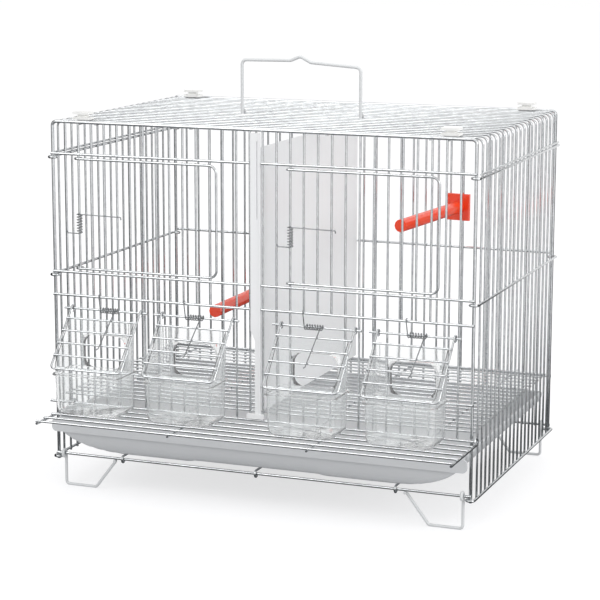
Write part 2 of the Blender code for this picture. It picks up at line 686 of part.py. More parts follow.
def cup_outline(middle_x, half_width, front, back, height):
    """The cup's rounded outline seen from above, at this height."""
    left, right = middle_x - half_width, middle_x + half_width
    corners = [(middle_x, back, height), (right, back, height), (right, front, height),
               (left, front, height), (left, back, height), (middle_x, back, height)]
    return rounded(corners, CUP_CORNER_R)[1:-1]


def cup_block(middle_x, grow, bottom, top):
    """A block of the cup's outline, grown outwards by this much at the top and drawn in towards the bottom."""
    front = CUP_BACK - CUP_DEPTH - grow
    outline = cup_outline(middle_x, CUP_WIDTH / 2 + grow, front, CUP_BACK + min(grow, 0), top)
    share = (top - bottom) / (CUP_TOP - CUP_BOTTOM)
    taper = 1 - share * 2 * CUP_DRAFT / CUP_WIDTH

    def build(made):
        face = made.faces.new([made.verts.new(point) for point in outline])
        swept = bmesh.ops.extrude_face_region(made, geom=[face])["geom"]
        for vert in swept:
            if isinstance(vert, bmesh.types.BMVert):
                vert.co.x = middle_x + (vert.co.x - middle_x) * taper
                vert.co.y = CUP_BACK + (vert.co.y - CUP_BACK) * taper
                vert.co.z = bottom

    return mesh_from(build)


def slope_cutter(pivot, down, outwards):
    """A big wedge whose lower face lies just below the resting flap."""
    base = pivot + outwards * (FLAP_RING_R - FLAP_WIRE_R - CLEARANCE)
    high, low = base - down * CUP_DEPTH, base + down * 2 * FLAP_LENGTH
    rise = outwards * FLAP_LENGTH
    shift = X * CUP_WIDTH
    return prism_mesh([corner - shift for corner in (high, low, low + rise, high + rise)], shift * 2)


def cup(name, side, first, last):
    """A clear cup: a high back with an arched opening, sides that slope under the flap, and a flat lip."""
    pivot, down, outwards = flap_frame(side, first, last)
    body = cup_block(pivot.x, 0, CUP_BOTTOM, CUP_TOP)
    part = add_part(name, body, CLEAR_PLASTIC, origin=(pivot.x, CUP_BACK, CUP_BOTTOM))
    cut(part, slope_cutter(pivot, down, outwards), "slope")
    lip = cup_outline(pivot.x, CUP_WIDTH / 2 + CUP_LIP_OUT, CUP_BACK - CUP_DEPTH - CUP_LIP_OUT, CUP_BACK,
                      CUP_LIP_HEIGHT)
    join(part, prism_mesh(lip, Z * CUP_LIP_THICKNESS), "lip")
    cut(part, cup_block(pivot.x, -CUP_WALL, CUP_BOTTOM + CUP_WALL, CUP_TOP + CUP_WALL), "hollow")
    half = CUP_HOLE_WIDTH / 2
    sill = FEEDER_SILL_HEIGHT + RAIL_R + CUP_HOLE_SILL
    head = sill + CUP_HOLE_RISE
    y = CUP_BACK + CUP_WALL
    corners = [(pivot.x, y, sill), (pivot.x + half, y, sill), (pivot.x + half, y, head),
               (pivot.x - half, y, head), (pivot.x - half, y, sill), (pivot.x, y, sill)]
    cut(part, prism_mesh(rounded(corners, CUP_CORNER_R)[1:-1], -Y * 3 * CUP_WALL), "access_hole")


# Handle, perches and clips

def handle():
    """A bail that turns on the middle roof wire, with a small peak to hang it by."""
    y, z = CAGE_DEPTH / 2, ROOF_HEIGHT
    left, right = HANDLE_SHIFT - HANDLE_WIDTH / 2, HANDLE_SHIFT + HANDLE_WIDTH / 2
    reach = UPRIGHT_R + CLEARANCE + HANDLE_R
    left_eye = ring((left, y, z), reach, -Y, Z, -RING_TURN, 0)
    right_eye = ring((right, y, z), reach, -Y, Z, -RING_TURN, 0)[::-1]
    leg_y = y - reach
    corners = [left_eye[-1], (left, leg_y, z + HANDLE_LEFT_HEIGHT),
               (right, leg_y, z + HANDLE_RIGHT_HEIGHT), right_eye[0]]
    bail = rounded(corners, HANDLE_CORNER_R)
    middle = len(bail) // 2
    peak = [Vector((HANDLE_SHIFT + place, leg_y, z + height)) for place, height in HANDLE_PEAK]
    path = left_eye[:-1] + bail[:middle] + peak + bail[middle:] + right_eye[1:]
    add_part("handle", wire_mesh([path], HANDLE_R), WIRE, origin=(HANDLE_SHIFT, y, z))


def perch(name, x, height, turn):
    """A perch: a round bar on a plate that stands against the back panel's uprights, turned a little."""
    width, thickness, tall = PERCH_PLATE
    back = CAGE_DEPTH - UPRIGHT_R - CLEARANCE - width / 2 * math.sin(turn)
    place = Matrix.Translation((x, back, height)) @ Matrix.Rotation(-turn, 4, "Z")
    plate = box_mesh((-width / 2, -thickness, -tall / 2), (width / 2, 0, tall / 2))
    bar = wire_mesh([[(0, -thickness / 2, 0), (0, -PERCH_LENGTH, 0)]], PERCH_BAR_R, sides=12)
    plate.transform(place)
    bar.transform(place)
    part = add_part(name, plate, PERCH_PLASTIC)
    join(part, bar, "bar")


def stacking_clip(name, x, y):
    """A clip that holds a second cage on top: two plates on a neck, above the roof's wires."""
    part = None
    level = ROOF_HEIGHT + UPRIGHT_R + CLEARANCE
    for label, (width, depth, tall), rise in (
        ("base", CLIP_PLATE, 0), ("neck", CLIP_NECK, CLIP_PLATE[2] - WELD),
        ("top", CLIP_PLATE, CLIP_PLATE[2] + CLIP_NECK[2] - 2 * WELD),
    ):
        low = level + rise
        block = box_mesh((x - width / 2, y - depth / 2, low), (x + width / 2, y + depth / 2, low + tall))
        if part is None:
            part = add_part(name, block, CLIP_PLASTIC)
        else:
            join(part, block, label)


def build():
    front_panel()
    back_panel()
    side_panel("left_side_panel", -1)
    side_panel("right_side_panel", 1)
    roof_panel()
    floor_grid()
    feeder_shelf()
    for end, y, inwards in (("front", -RAIL_LAYER, Y), ("back", CAGE_DEPTH + RAIL_LAYER, -Y)):
        for label, side in (("left", -1), ("right", 1)):
            foot(f"{end}_{label}_foot", side, y, inwards)
    for label, x in RUNNERS.items():
        runner(f"{label}_tray_runner", x)
    tray()
    divider()
    for label, (side, hinge, latch) in DOORS.items():
        door(f"{label}_door", side, hinge, latch)
        door_spring(f"{label}_door_spring", side, hinge)
    for label, place in FEEDERS.items():
        flap(f"feeder_flap_{label}", *place)
        flap_spring(f"flap_spring_{label}", FLAP_SPRING_SHIFTS[label], *place)
        cup(f"cup_{label}", *place)
    handle()
    for label, place in PERCHES.items():
        perch(f"{label}_perch", *place)
    for end, y in (("front", CLIP_IN), ("back", CAGE_DEPTH - CLIP_IN)):
        for label, side in (("left", -1), ("right", 1)):
            stacking_clip(f"{end}_{label}_clip", side * CLIP_X, y)


clear_scene()
PARTS = new_collection("bird_cage", shown=True)
CUTTERS = new_collection("cutters", shown=False)
WIRE = new_material("zinc wire", (0.86, 0.87, 0.87), 0.35)
SPRING_STEEL = new_material("spring steel", (0.55, 0.56, 0.57), 0.3, metallic=1.0)
TRAY_PAINT = new_material("tray plastic", (0.80, 0.81, 0.82), 0.4)
DIVIDER_PLASTIC = new_material("divider plastic", (0.82, 0.83, 0.85), 0.45)
CLEAR_PLASTIC = new_material("clear plastic", (0.90, 0.93, 0.93), 0.08, alpha=0.35)
PERCH_PLASTIC = new_material("perch plastic", (0.80, 0.07, 0.03), 0.35)
CLIP_PLASTIC = new_material("clip plastic", (0.88, 0.88, 0.87), 0.4)
build()
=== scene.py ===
"""Looks for a two-compartment wire breeding cage: round plated wires, clear cups, tray, divider and perches,
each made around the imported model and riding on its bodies, with a plain studio round it."""

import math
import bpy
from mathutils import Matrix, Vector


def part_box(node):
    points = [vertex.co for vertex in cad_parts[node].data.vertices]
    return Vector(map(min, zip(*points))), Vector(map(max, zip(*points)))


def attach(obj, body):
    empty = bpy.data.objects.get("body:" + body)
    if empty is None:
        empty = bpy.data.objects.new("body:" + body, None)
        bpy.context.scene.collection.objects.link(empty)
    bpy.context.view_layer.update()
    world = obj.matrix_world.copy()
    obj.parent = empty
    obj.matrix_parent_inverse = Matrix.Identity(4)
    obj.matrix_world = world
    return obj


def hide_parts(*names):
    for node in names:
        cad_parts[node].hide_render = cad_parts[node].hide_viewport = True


bl_info = {
    "name": "Wire breeding cage",
    "version": (1, 0, 0),
    "blender": (4, 5, 0),
    "location": "View3D > Sidebar > Cage",
    "description": "Builds the wires, cups, tray and fittings of a two-compartment bird cage",
    "category": "Add Mesh",
}

import bpy
import numpy as np
from bpy.props import FloatProperty, FloatVectorProperty, IntProperty, PointerProperty
from mathutils import Matrix, Vector

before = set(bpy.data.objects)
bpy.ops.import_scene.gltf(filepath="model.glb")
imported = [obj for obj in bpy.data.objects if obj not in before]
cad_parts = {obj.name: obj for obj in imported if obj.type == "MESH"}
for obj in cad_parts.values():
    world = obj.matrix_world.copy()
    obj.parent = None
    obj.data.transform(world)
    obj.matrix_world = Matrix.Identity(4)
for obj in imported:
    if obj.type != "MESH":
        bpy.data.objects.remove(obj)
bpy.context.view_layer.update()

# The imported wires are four-sided, and these are their corner radii
PACKED = {"post": 0.0018, "rail": 0.00135, "upright": 0.00115, "door": 0.00125, "flap": 0.00105,
          "handle": 0.0016, "foot": 0.0014, "spring": 0.00045}
# How far two packed wires run into each other at a weld, and how far a hook or an eye goes round its wire
WELD = 0.00045
HOOK_TURN = math.radians(265)
CAGE_DEPTH = 0.265
BACK_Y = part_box("back_panel")[0].y + PACKED["post"]
FRONT_Y = BACK_Y - CAGE_DEPTH
HALF_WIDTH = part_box("back_panel")[1].x - PACKED["post"]
X, Y, Z = np.eye(3)
SLANT = np.array([1.0, 1.0, 1.0]) / math.sqrt(3)

# Each feeder's side of the divider's slot, and the uprights at both edges of its opening
FEEDERS = {"1": (-1, 9, 13), "2": (-1, 2, 6), "3": (1, 2, 6), "4": (1, 9, 13)}
# Each door's side of the slot, the upright that it hangs on and the last one that its free edge passes
DOORS = {"left": (-1, 13, 3), "right": (1, 2, 12)}
# How far the flaps' axles lie below the feeder head, and how far out the flaps rest from straight down
AXLE_DROP = 0.012
FLAP_TILT = math.radians(42)
# Each spring's coil: radius of its wire's middle line and number of turns
COIL_RADIUS = 0.0023
COIL_TURNS = 7
# How far each flap's coil sits from the middle of its opening
SPRING_SHIFTS = {"1": 0.0044, "2": -0.0011, "3": -0.0024, "4": 0.0025}


# Sizes and colours

def linear(code):
    """An sRGB hex colour as linear red, green and blue."""
    share = np.array([int(code[i:i + 2], 16) for i in (0, 2, 4)]) / 255
    return tuple(np.where(share <= 0.04045, share / 12.92, ((share + 0.055) / 1.055) ** 2.4).tolist())


def length(name, description, default):
    return FloatProperty(name=name, description=description, default=default, unit="LENGTH", precision=5)


def colour(name, description, code):
    return FloatVectorProperty(name=name, description=description, default=linear(code), subtype="COLOR")


class CageSizes(bpy.types.PropertyGroup):
    """Heights and spacings of the wire panels."""

    roof_height: length("Roof", "Height of the top wires", 0.341)
    door_head: length("Door head", "Height of the rail above the doors", 0.312)
    door_sill: length("Door sill", "Height of the rail below the doors", 0.2035)
    feeder_head: length("Feeder head", "Height of the rail above the feeders", 0.182)
    feeder_sill: length("Feeder sill", "Height of the rail below the feeder openings", 0.1125)
    floor_rail: length("Floor rail", "Height of the rail that carries floor and shelf", 0.0808)
    bottom_rail: length("Bottom rail", "Height of the lowest rail", 0.0315)
    half_slot: length("Half slot", "Half of the divider's slot in the front panel", 0.00615)
    side_drop: length("Side rail drop", "How far the side rails lie below the front ones", 0.0036)
    shelf_depth: length("Shelf depth", "How far the feeder shelf stands out", 0.073)
    cup_width: length("Cup width", "Outer width of a cup at the top", 0.066)
    cup_depth: length("Cup depth", "Outer depth of a cup at the top", 0.0455)
    cup_corner: length("Cup corner", "Outer radius of a cup's upright edges", 0.009)
    cup_top: length("Cup top", "Height of a cup's back wall", 0.161)
    cup_wall: length("Cup wall", "Thickness of a cup's walls", 0.0007)
    cup_lip: length("Cup lip", "Height of the lip round a cup's front and sides", 0.1164)
    shelf_left_in: length("Shelf left", "From the left corner post in to the shelf's left arm", 0.0175)
    shelf_right_out: length("Shelf right", "From the right corner post out to the shelf's right arm", 0.0045)
    shelf_stay: length("Shelf stay", "From the shelf's middle to each of its stays", 0.065)
    columns: IntProperty(name="Columns", description="Front uprights on each side of the slot", default=15)
    back_spaces: IntProperty(name="Back spaces", description="Spaces between the back uprights", default=31)
    side_spaces: IntProperty(name="Side spaces", description="Spaces between the side uprights", default=20)
    shelf_bars: IntProperty(name="Shelf bars", description="Long wires of the feeder shelf", default=5)


class WireSizes(bpy.types.PropertyGroup):
    """Radii of the wires, and how they lie on each other."""

    post: length("Post", "Radius of the corner posts", 0.00150)
    rail: length("Rail", "Radius of the long rails", 0.00118)
    upright: length("Upright", "Radius of the uprights", 0.00100)
    door: length("Door wire", "Radius of the door frames", 0.00112)
    flap: length("Flap wire", "Radius of the flap wires", 0.00095)
    handle: length("Handle wire", "Radius of the handle", 0.00150)
    foot: length("Foot wire", "Radius of the feet", 0.00135)
    spring: length("Spring wire", "Radius of the spring wire", 0.00050)
    overhang: length("Overhang", "How far a welded wire stands past the last rail", 0.0012)
    rail_layer: length("Rail layer", "From the uprights' middle to the rails' middle", 0.00205)
    light_layer: length("Light layer", "From one thin wire's middle to the next", 0.00185)
    gap: length("Gap", "Clearance between a hook and the wire in it", 0.0004)


class CageColours(bpy.types.PropertyGroup):
    """Colours of the finishes."""

    zinc: colour("Zinc", "Bright plating on the wires", "DEE0E1")
    zinc_dull: colour("Dull zinc", "Plating where it is milky", "CDCFD1")
    spring: colour("Spring", "Drawn spring steel", "8C8E90")
    tray: colour("Tray", "Pale grey tray plastic", "CFD1D3")
    divider: colour("Divider", "Pale partition plastic", "F1F2F3")
    clear: colour("Clear plastic", "Clear cups", "FCFDFD")
    lacquer: colour("Feet and handle", "Pale lacquer on the bent wires of the feet and the handle", "DCDEDF")
    perch: colour("Perch", "Red perch plastic", "F24A24")
    clip: colour("Clip", "White clip plastic", "F7F7F5")
    # The cards glow with a fixed grey and only reflections show them: painted reflections that put dark edges
    # and painted shade on the wires.
    card: colour("Card", "Dark cards round the cage that only reflections show", "2E2F31")
    low_card: colour("Low card", "Grey card below the cage that only reflections show", "5C5E60")
    front_card: colour("Front card", "Grey card in front of the cage that only reflections show", "A6A8AA")


def sizes():
    return bpy.context.scene.cage_sizes


def wires():
    return bpy.context.scene.cage_wires


def colours():
    return bpy.context.scene.cage_colours


# Surfaces worked out as arrays

def unit(vectors):
    """Each vector divided by its length."""
    return vectors / np.linalg.norm(vectors, axis=-1, keepdims=True)


def at(x, y, z):
    return np.array([x, y, z], float)


def tubes(paths, radius, sides=10):
    """Round wires. Each point of a path carries the circle point + r (cos a N + sin a B), where N is
    square to the path and to a fixed slanting line, and B is square to both."""
    paths = np.asarray(paths, float)
    paths = paths[None] if paths.ndim == 2 else paths
    tangent = unit(np.gradient(paths, axis=1))
    normal = unit(np.cross(tangent, SLANT))[:, :, None]
    binormal = np.cross(tangent, normal[:, :, 0])[:, :, None]
    angle = (np.arange(sides) * 2 * np.pi / sides)[:, None]
    points = paths[:, :, None] + radius * (np.cos(angle) * normal + np.sin(angle) * binormal)
    index = np.arange(points.size // 3).reshape(points.shape[:3])
    beside = np.roll(index, -1, axis=2)
    walls = np.stack([index[:, :-1], beside[:, :-1], beside[:, 1:], index[:, 1:]], -1).reshape(-1, 4)
    return points.reshape(-1, 3), [walls, index[:, 0, ::-1], index[:, -1]]


def bars(starts, ends, radius, sides=10):
    """Straight round wires from each start to each end."""
    starts, ends = np.broadcast_arrays(np.atleast_2d(starts), np.atleast_2d(ends))
    return tubes(np.stack([starts, ends], 1), radius, sides)


def arc(centre, radius, across, along, start, stop, steps=28):
    """Points centre + r (cos a across + sin a along), with a from start to stop in radians."""
    angle = np.linspace(start, stop, steps + 1)[:, None]
    return centre + radius * (np.cos(angle) * across + np.sin(angle) * along)


def rounded(corners, radius, steps=8):
    """A path through these corners, each inner one replaced by an arc that touches both sides."""
    corners = [np.asarray(corner, float) for corner in corners]
    made = [corners[0][None]]
    for before, corner, after in zip(corners, corners[1:], corners[2:]):
        back, ahead = unit(before - corner), unit(after - corner)
        half = math.acos(np.clip(back @ ahead, -1, 1)) / 2
        middle = unit(back + ahead)
        centre = corner + middle * radius / math.sin(half)
        sweep = math.pi / 2 - half
        across = unit(ahead - back)
        made.append(arc(centre, radius, -middle, across, -sweep, sweep, steps))
    return np.concatenate(made + [corners[-1][None]])


def coil(centre, radius, axis, across, along, span, turns, steps=16):
    """Points of a helix: centre + axis t span + r (cos a across + sin a along), a rising with t."""
    share = np.linspace(-0.5, 0.5, turns * steps + 1)[:, None]
    angle = (share + 0.5) * 2 * np.pi * turns
    return centre + share * span * axis + radius * (np.cos(angle) * across + np.sin(angle) * along)


def sheet_faces(rows, columns, round_columns=False):
    """Quads of a grid of points, row by row, closed round its columns where asked."""
    index = np.arange(rows * columns).reshape(rows, columns)
    beside = np.roll(index, -1, axis=1)
    if not round_columns:
        index, beside = index[:, :-1], beside[:, :-1]
    return np.stack([index[:-1], beside[:-1], beside[1:], index[1:]], -1).reshape(-1, 4)


def closed(first, second):
    """A solid between two grids of points: both sheets, the first one turned round, and the wall at
    their edges."""
    rows, columns = first.shape[:2]
    faces = sheet_faces(rows, columns)
    index = np.arange(2 * rows * columns).reshape(2, rows, columns)
    loop = np.concatenate([index[:, 0, :-1], index[:, :-1, -1], index[:, -1, :0:-1], index[:, :0:-1, 0]], 1)
    edge = np.stack([loop[0], np.roll(loop[0], -1), np.roll(loop[1], -1), loop[1]], -1)
    points = np.concatenate([first.reshape(-1, 3), second.reshape(-1, 3)])
    return points, [faces[:, ::-1], faces + rows * columns, edge]


def rounded_rectangle(half_x, half_z, corner, count):
    """A rounded rectangle about the origin, as count points: straight sides joined by quarter circles."""
    angle = np.linspace(0, np.pi / 2, count // 4)
    quarter = corner * np.stack([np.cos(angle), np.sin(angle)], -1)
    made = []
    for number, (across, up) in enumerate([(1, 1), (-1, 1), (-1, -1), (1, -1)]):
        part = quarter if number % 2 == 0 else quarter[::-1]
        made.append(part * (across, up) + np.array([across * (half_x - corner), up * (half_z - corner)]))
    return np.concatenate(made)


def plate(outline, near, far):
    """A flat plate between two depths, with an outline in x and z that runs round to the left."""
    count = len(outline)
    front = np.stack([outline[:, 0], np.full(count, near), outline[:, 1]], -1)
    index = np.arange(2 * count).reshape(2, count)
    sides = np.stack([index[0], index[1], np.roll(index[1], -1), np.roll(index[0], -1)], -1)
    return np.concatenate([front, front + Y * (far - near)]), [sides, index[0][None], index[1, ::-1][None]]


def mesh_of(name, shapes, sharp=40):
    """One mesh from shapes, each an array of points and a list of arrays of faces."""
    points = np.concatenate([shape[0] for shape in shapes])
    first = np.cumsum([0] + [len(shape[0]) for shape in shapes])
    sets = [faces + base for shape, base in zip(shapes, first) for faces in shape[1]]
    totals = np.concatenate([np.full(len(faces), faces.shape[1]) for faces in sets])
    mesh = bpy.data.meshes.new(name)
    mesh.vertices.add(len(points))
    mesh.vertices.foreach_set("co", points.astype(np.float32).ravel())
    mesh.loops.add(int(totals.sum()))
    mesh.loops.foreach_set("vertex_index", np.concatenate([faces.ravel() for faces in sets]).astype(np.int32))
    mesh.polygons.add(len(totals))
    mesh.polygons.foreach_set("loop_start", (np.cumsum(totals) - totals).astype(np.int32))
    mesh.update(calc_edges=True)
    mesh.shade_smooth()
    mesh.set_sharp_from_angle(angle=math.radians(sharp))
    return mesh


def piece(name, shapes, material, body, slot, *nodes, sharp=40):
    """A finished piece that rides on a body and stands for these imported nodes."""
    mesh = mesh_of(name, shapes, sharp)
    mesh.materials.append(material)
    made = bpy.data.objects.new(name, mesh)
    bpy.context.scene.collection.objects.link(made)
    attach(made, body)
    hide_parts(*nodes)
    return made


# Places on the cage

def column(side, count):
    """The X of a front upright, counted out from the divider's slot."""
    pitch = (HALF_WIDTH - sizes().half_slot) / sizes().columns
    return side * (sizes().half_slot + count * pitch)


def crosses(side, count, low):
    """Whether an upright's stretch that starts at this height would cross a door or a feeder opening."""
    s = sizes()
    openings = {s.feeder_sill: FEEDERS, s.door_sill: DOORS}.get(low, {})
    return any(side == on and min(a, b) < count < max(a, b) for on, a, b in openings.values())


def front_spans(side, count):
    """The heights between which a front upright runs, with the openings left out."""
    s = sizes()
    levels = [s.floor_rail, s.feeder_sill, s.feeder_head, s.door_sill, s.door_head, s.roof_height]
    spans = []
    for low, high in zip(levels, levels[1:]):
        if crosses(side, count, low):
            continue
        if spans and spans[-1][1] == low:
            spans[-1][1] = high
        else:
            spans.append([low, high])
    return spans


def pillars(places, radius):
    """Upright wires from rows of x, y, low and high."""
    places = np.asarray(places, float)
    return bars(places[:, [0, 1, 2]], places[:, [0, 1, 3]], radius)


def side_places():
    """The Y of each upright of the side panels, and of each cross wire of the roof and the floor."""
    return FRONT_Y + (BACK_Y - FRONT_Y) * np.arange(1, sizes().side_spaces) / sizes().side_spaces


def end_frame(y):
    """Both corner posts and the top wire of a front or back panel, bent from one wire."""
    foot = sizes().bottom_rail - sizes().side_drop - wires().rail - wires().overhang
    roof, bend = sizes().roof_height, 0.004
    corners = [at(-HALF_WIDTH, y, foot), at(-HALF_WIDTH, y, roof),
               at(HALF_WIDTH, y, roof), at(HALF_WIDTH, y, foot)]
    return tubes(rounded(corners, bend), wires().post, sides=16)


# Finishes

def new_material(name):
    material = bpy.data.materials.new(name)
    material.use_nodes = True
    tree = material.node_tree
    tree.nodes.clear()
    return material, tree


def add(tree, kind, links=None, values=None, **settings):
    """One node, with its settings, its socket values and the links into it, each from a socket or from
    the first socket of another node."""
    made = tree.nodes.new(kind)
    for name, value in settings.items():
        setattr(made, name, value)
    for socket, value in (values or {}).items():
        made.inputs[socket].default_value = value
    for socket, source in (links or {}).items():
        source = source.outputs[0] if isinstance(source, bpy.types.Node) else source
        tree.links.new(source, made.inputs[socket])
    return made


def surface(tree, links, values):
    shader = add(tree, "ShaderNodeBsdfPrincipled", links, values)
    add(tree, "ShaderNodeOutputMaterial", {"Surface": shader})


def marks(tree, scale, detail=3.0, stretch=None):
    """Soft marks about 1 / scale metres across, on the piece's own coordinates. A stretch per axis draws
    them out into streaks."""
    place = add(tree, "ShaderNodeTexCoord").outputs["Object"]
    if stretch:
        place = add(tree, "ShaderNodeMapping", {"Vector": place}, {"Scale": stretch})
    made = add(tree, "ShaderNodeTexNoise", {"Vector": place}, {"Scale": scale, "Detail": detail})
    return made.outputs["Fac"]


def zinc_plate():
    """Bright zinc plating on drawn steel wire: a soft metal shine with milky patches of about 6 mm. Its
    grain is drawn at 0.7 mm, which is coarser than the real one."""
    material, tree = new_material("bright zinc plated wire")
    patches, grain = marks(tree, 160), marks(tree, 1400, 2)
    ramp = add(tree, "ShaderNodeValToRGB", {"Fac": patches})
    shades = (0.35, colours().zinc_dull), (0.65, colours().zinc)
    for element, (position, shade) in zip(ramp.color_ramp.elements, shades):
        element.position = position
        element.color = (*shade, 1)
    surface(tree, {
        "Base Color": ramp,
        "Roughness": add(tree, "ShaderNodeMapRange", {"Value": patches}, {"To Min": 0.24, "To Max": 0.18}),
        "Normal": add(tree, "ShaderNodeBump", {"Height": grain}, {"Strength": 0.08, "Distance": 0.0001}),
    }, {"Metallic": 1.0})
    return material


def spring_steel():
    """Hard drawn spring wire: smooth and a shade darker than the plating, with a shine that changes
    every 2 mm."""
    material, tree = new_material("drawn spring steel")
    shine = marks(tree, 500)
    surface(tree, {
        "Roughness": add(tree, "ShaderNodeMapRange", {"Value": shine}, {"To Min": 0.2, "To Max": 0.35}),
    }, {"Base Color": (*colours().spring, 1), "Metallic": 1.0})
    return material


def pale_lacquer():
    """Zinc-rich lacquer baked on bent wire: paler and flatter than the plating, with a satin skin that
    changes every 3 mm."""
    material, tree = new_material("zinc lacquered wire")
    shine = marks(tree, 300)
    surface(tree, {
        "Roughness": add(tree, "ShaderNodeMapRange", {"Value": shine}, {"To Min": 0.3, "To Max": 0.4}),
    }, {"Base Color": (*colours().lacquer, 1), "Metallic": 0.0})
    return material


def tray_plastic():
    """Moulded polypropylene: a satin texture, drawn at 1.1 mm, which is coarser than the real one, and a
    shine that changes every 40 mm."""
    material, tree = new_material("satin grey polypropylene")
    grain, shine = marks(tree, 900, 4), marks(tree, 25)
    surface(tree, {
        "Roughness": add(tree, "ShaderNodeMapRange", {"Value": shine}, {"To Min": 0.32, "To Max": 0.42}),
        "Normal": add(tree, "ShaderNodeBump", {"Height": grain}, {"Strength": 0.2, "Distance": 0.0001}),
    }, {"Base Color": (*colours().tray, 1)})
    return material


def divider_plastic():
    """Extruded sheet: faint upright draw lines in a satin surface, drawn 2.5 mm apart."""
    material, tree = new_material("extruded pale sheet")
    lines = marks(tree, 400, 2, (1, 1, 0.01))
    surface(tree, {
        "Roughness": add(tree, "ShaderNodeMapRange", {"Value": lines}, {"To Min": 0.28, "To Max": 0.4}),
        "Normal": add(tree, "ShaderNodeBump", {"Height": lines}, {"Strength": 0.1, "Distance": 0.0001}),
    }, {"Base Color": (*colours().divider, 1)})
    return material


def clear_plastic():
    """Moulded polystyrene: glassy and a little milky, with faint flow marks about 17 mm apart."""
    material, tree = new_material("clear polystyrene")
    flow = marks(tree, 60, 2)
    surface(tree, {
        "Normal": add(tree, "ShaderNodeBump", {"Height": flow}, {"Strength": 0.08, "Distance": 0.0006}),
    }, {"Base Color": (*colours().clear, 1), "Roughness": 0.05, "IOR": 1.45, "Transmission Weight": 0.94})
    return material


def perch_plastic():
    """Translucent red polystyrene: colour deep in the plastic under a glossy skin, with flow marks about
    8 mm apart."""
    material, tree = new_material("translucent red polystyrene")
    flow = marks(tree, 120)
    surface(tree, {
        "Roughness": add(tree, "ShaderNodeMapRange", {"Value": flow}, {"To Min": 0.12, "To Max": 0.25}),
    }, {
        "Base Color": (*colours().perch, 1), "IOR": 1.59,
        "Subsurface Weight": 0.6, "Subsurface Scale": 1.0, "Subsurface Radius": (0.008, 0.002, 0.001),
    })
    return material


def clip_plastic():
    """White moulded nylon with a fine grain, drawn at 0.8 mm, which is coarser than the real one."""
    material, tree = new_material("white moulded nylon")
    grain = marks(tree, 1200)
    surface(tree, {
        "Roughness": add(tree, "ShaderNodeMapRange", {"Value": grain}, {"To Min": 0.35, "To Max": 0.5}),
        "Normal": add(tree, "ShaderNodeBump", {"Height": grain}, {"Strength": 0.1, "Distance": 0.0001}),
    }, {"Base Color": (*colours().clip, 1)})
    return material


MADE = {}


def finish_named(maker):
    """The material that this function makes, made only once."""
    if maker.__name__ not in MADE:
        MADE[maker.__name__] = maker()
    return MADE[maker.__name__]


# Pieces

class CagePiece:
    """What every piece's operator shares."""

    bl_options = {"REGISTER", "UNDO"}

    def execute(self, context):
        self.build()
        return {"FINISHED"}


class CAGE_OT_front_panel(CagePiece, bpy.types.Operator):
    """Front panel: posts and top wire, uprights cut at the openings, rails and the flaps' axles"""

    bl_idname = "cage.front_panel"
    bl_label = "Front panel"

    def build(self):
        s, w = sizes(), wires()
        uprights = []
        for side in (-1, 1):
            for count in range(s.columns):
                for low, high in front_spans(side, count):
                    top = high if high == s.roof_height else high + w.overhang
                    uprights.append((column(side, count), FRONT_Y, low - w.overhang, top))
        # The floor rail stands out further than the others, to carry the shelf's right arm
        end, floor_out, axle_out = HALF_WIDTH + w.overhang, 0.0053, 0.003
        rails = [(-end, end, s.bottom_rail), (-end - floor_out, end + floor_out, s.floor_rail)]
        inner = s.half_slot - w.upright / 2
        for height in (s.feeder_sill, s.feeder_head, s.door_sill, s.door_head):
            rails += [(-end, -inner, height), (inner, end, height)]
        rails = np.array(rails)
        level = np.full(len(rails), FRONT_Y - w.rail_layer)
        starts = np.stack([rails[:, 0], level, rails[:, 2]], -1)
        ends = np.stack([rails[:, 1], level, rails[:, 2]], -1)
        axles = []
        for side, first, last in FEEDERS.values():
            low, high = sorted((column(side, first - 1), column(side, last + 1)))
            axles.append((low - axle_out, high + axle_out))
        axles = np.array(axles)
        place = np.tile([FRONT_Y - w.light_layer, s.feeder_head - AXLE_DROP], (len(axles), 1))
        shapes = [
            end_frame(FRONT_Y),
            pillars(uprights, w.upright),
            bars(starts, ends, w.rail, sides=12),
            bars(np.c_[axles[:, 0], place], np.c_[axles[:, 1], place], w.upright, sides=12),
        ]
        piece("front_wires", shapes, finish_named(zinc_plate), "cage", "wire", "front_panel")


class CAGE_OT_back_panel(CagePiece, bpy.types.Operator):
    """Back panel: posts and top wire, uprights and three rails behind them"""

    bl_idname = "cage.back_panel"
    bl_label = "Back panel"

    def build(self):
        s, w = sizes(), wires()
        xs = 2 * HALF_WIDTH * np.arange(1, s.back_spaces) / s.back_spaces - HALF_WIDTH
        uprights = [(x, BACK_Y, s.bottom_rail - w.overhang, s.roof_height) for x in xs]
        end, y = HALF_WIDTH + w.overhang, BACK_Y + w.rail_layer
        heights = (s.bottom_rail, s.floor_rail, s.door_sill)
        starts = np.array([at(-end, y, height) for height in heights])
        ends = np.array([at(end, y, height) for height in heights])
        rails = bars(starts, ends, w.rail, sides=12)
        shapes = [end_frame(BACK_Y), pillars(uprights, w.upright), rails]
        piece("back_wires", shapes, finish_named(zinc_plate), "cage", "wire", "back_panel")


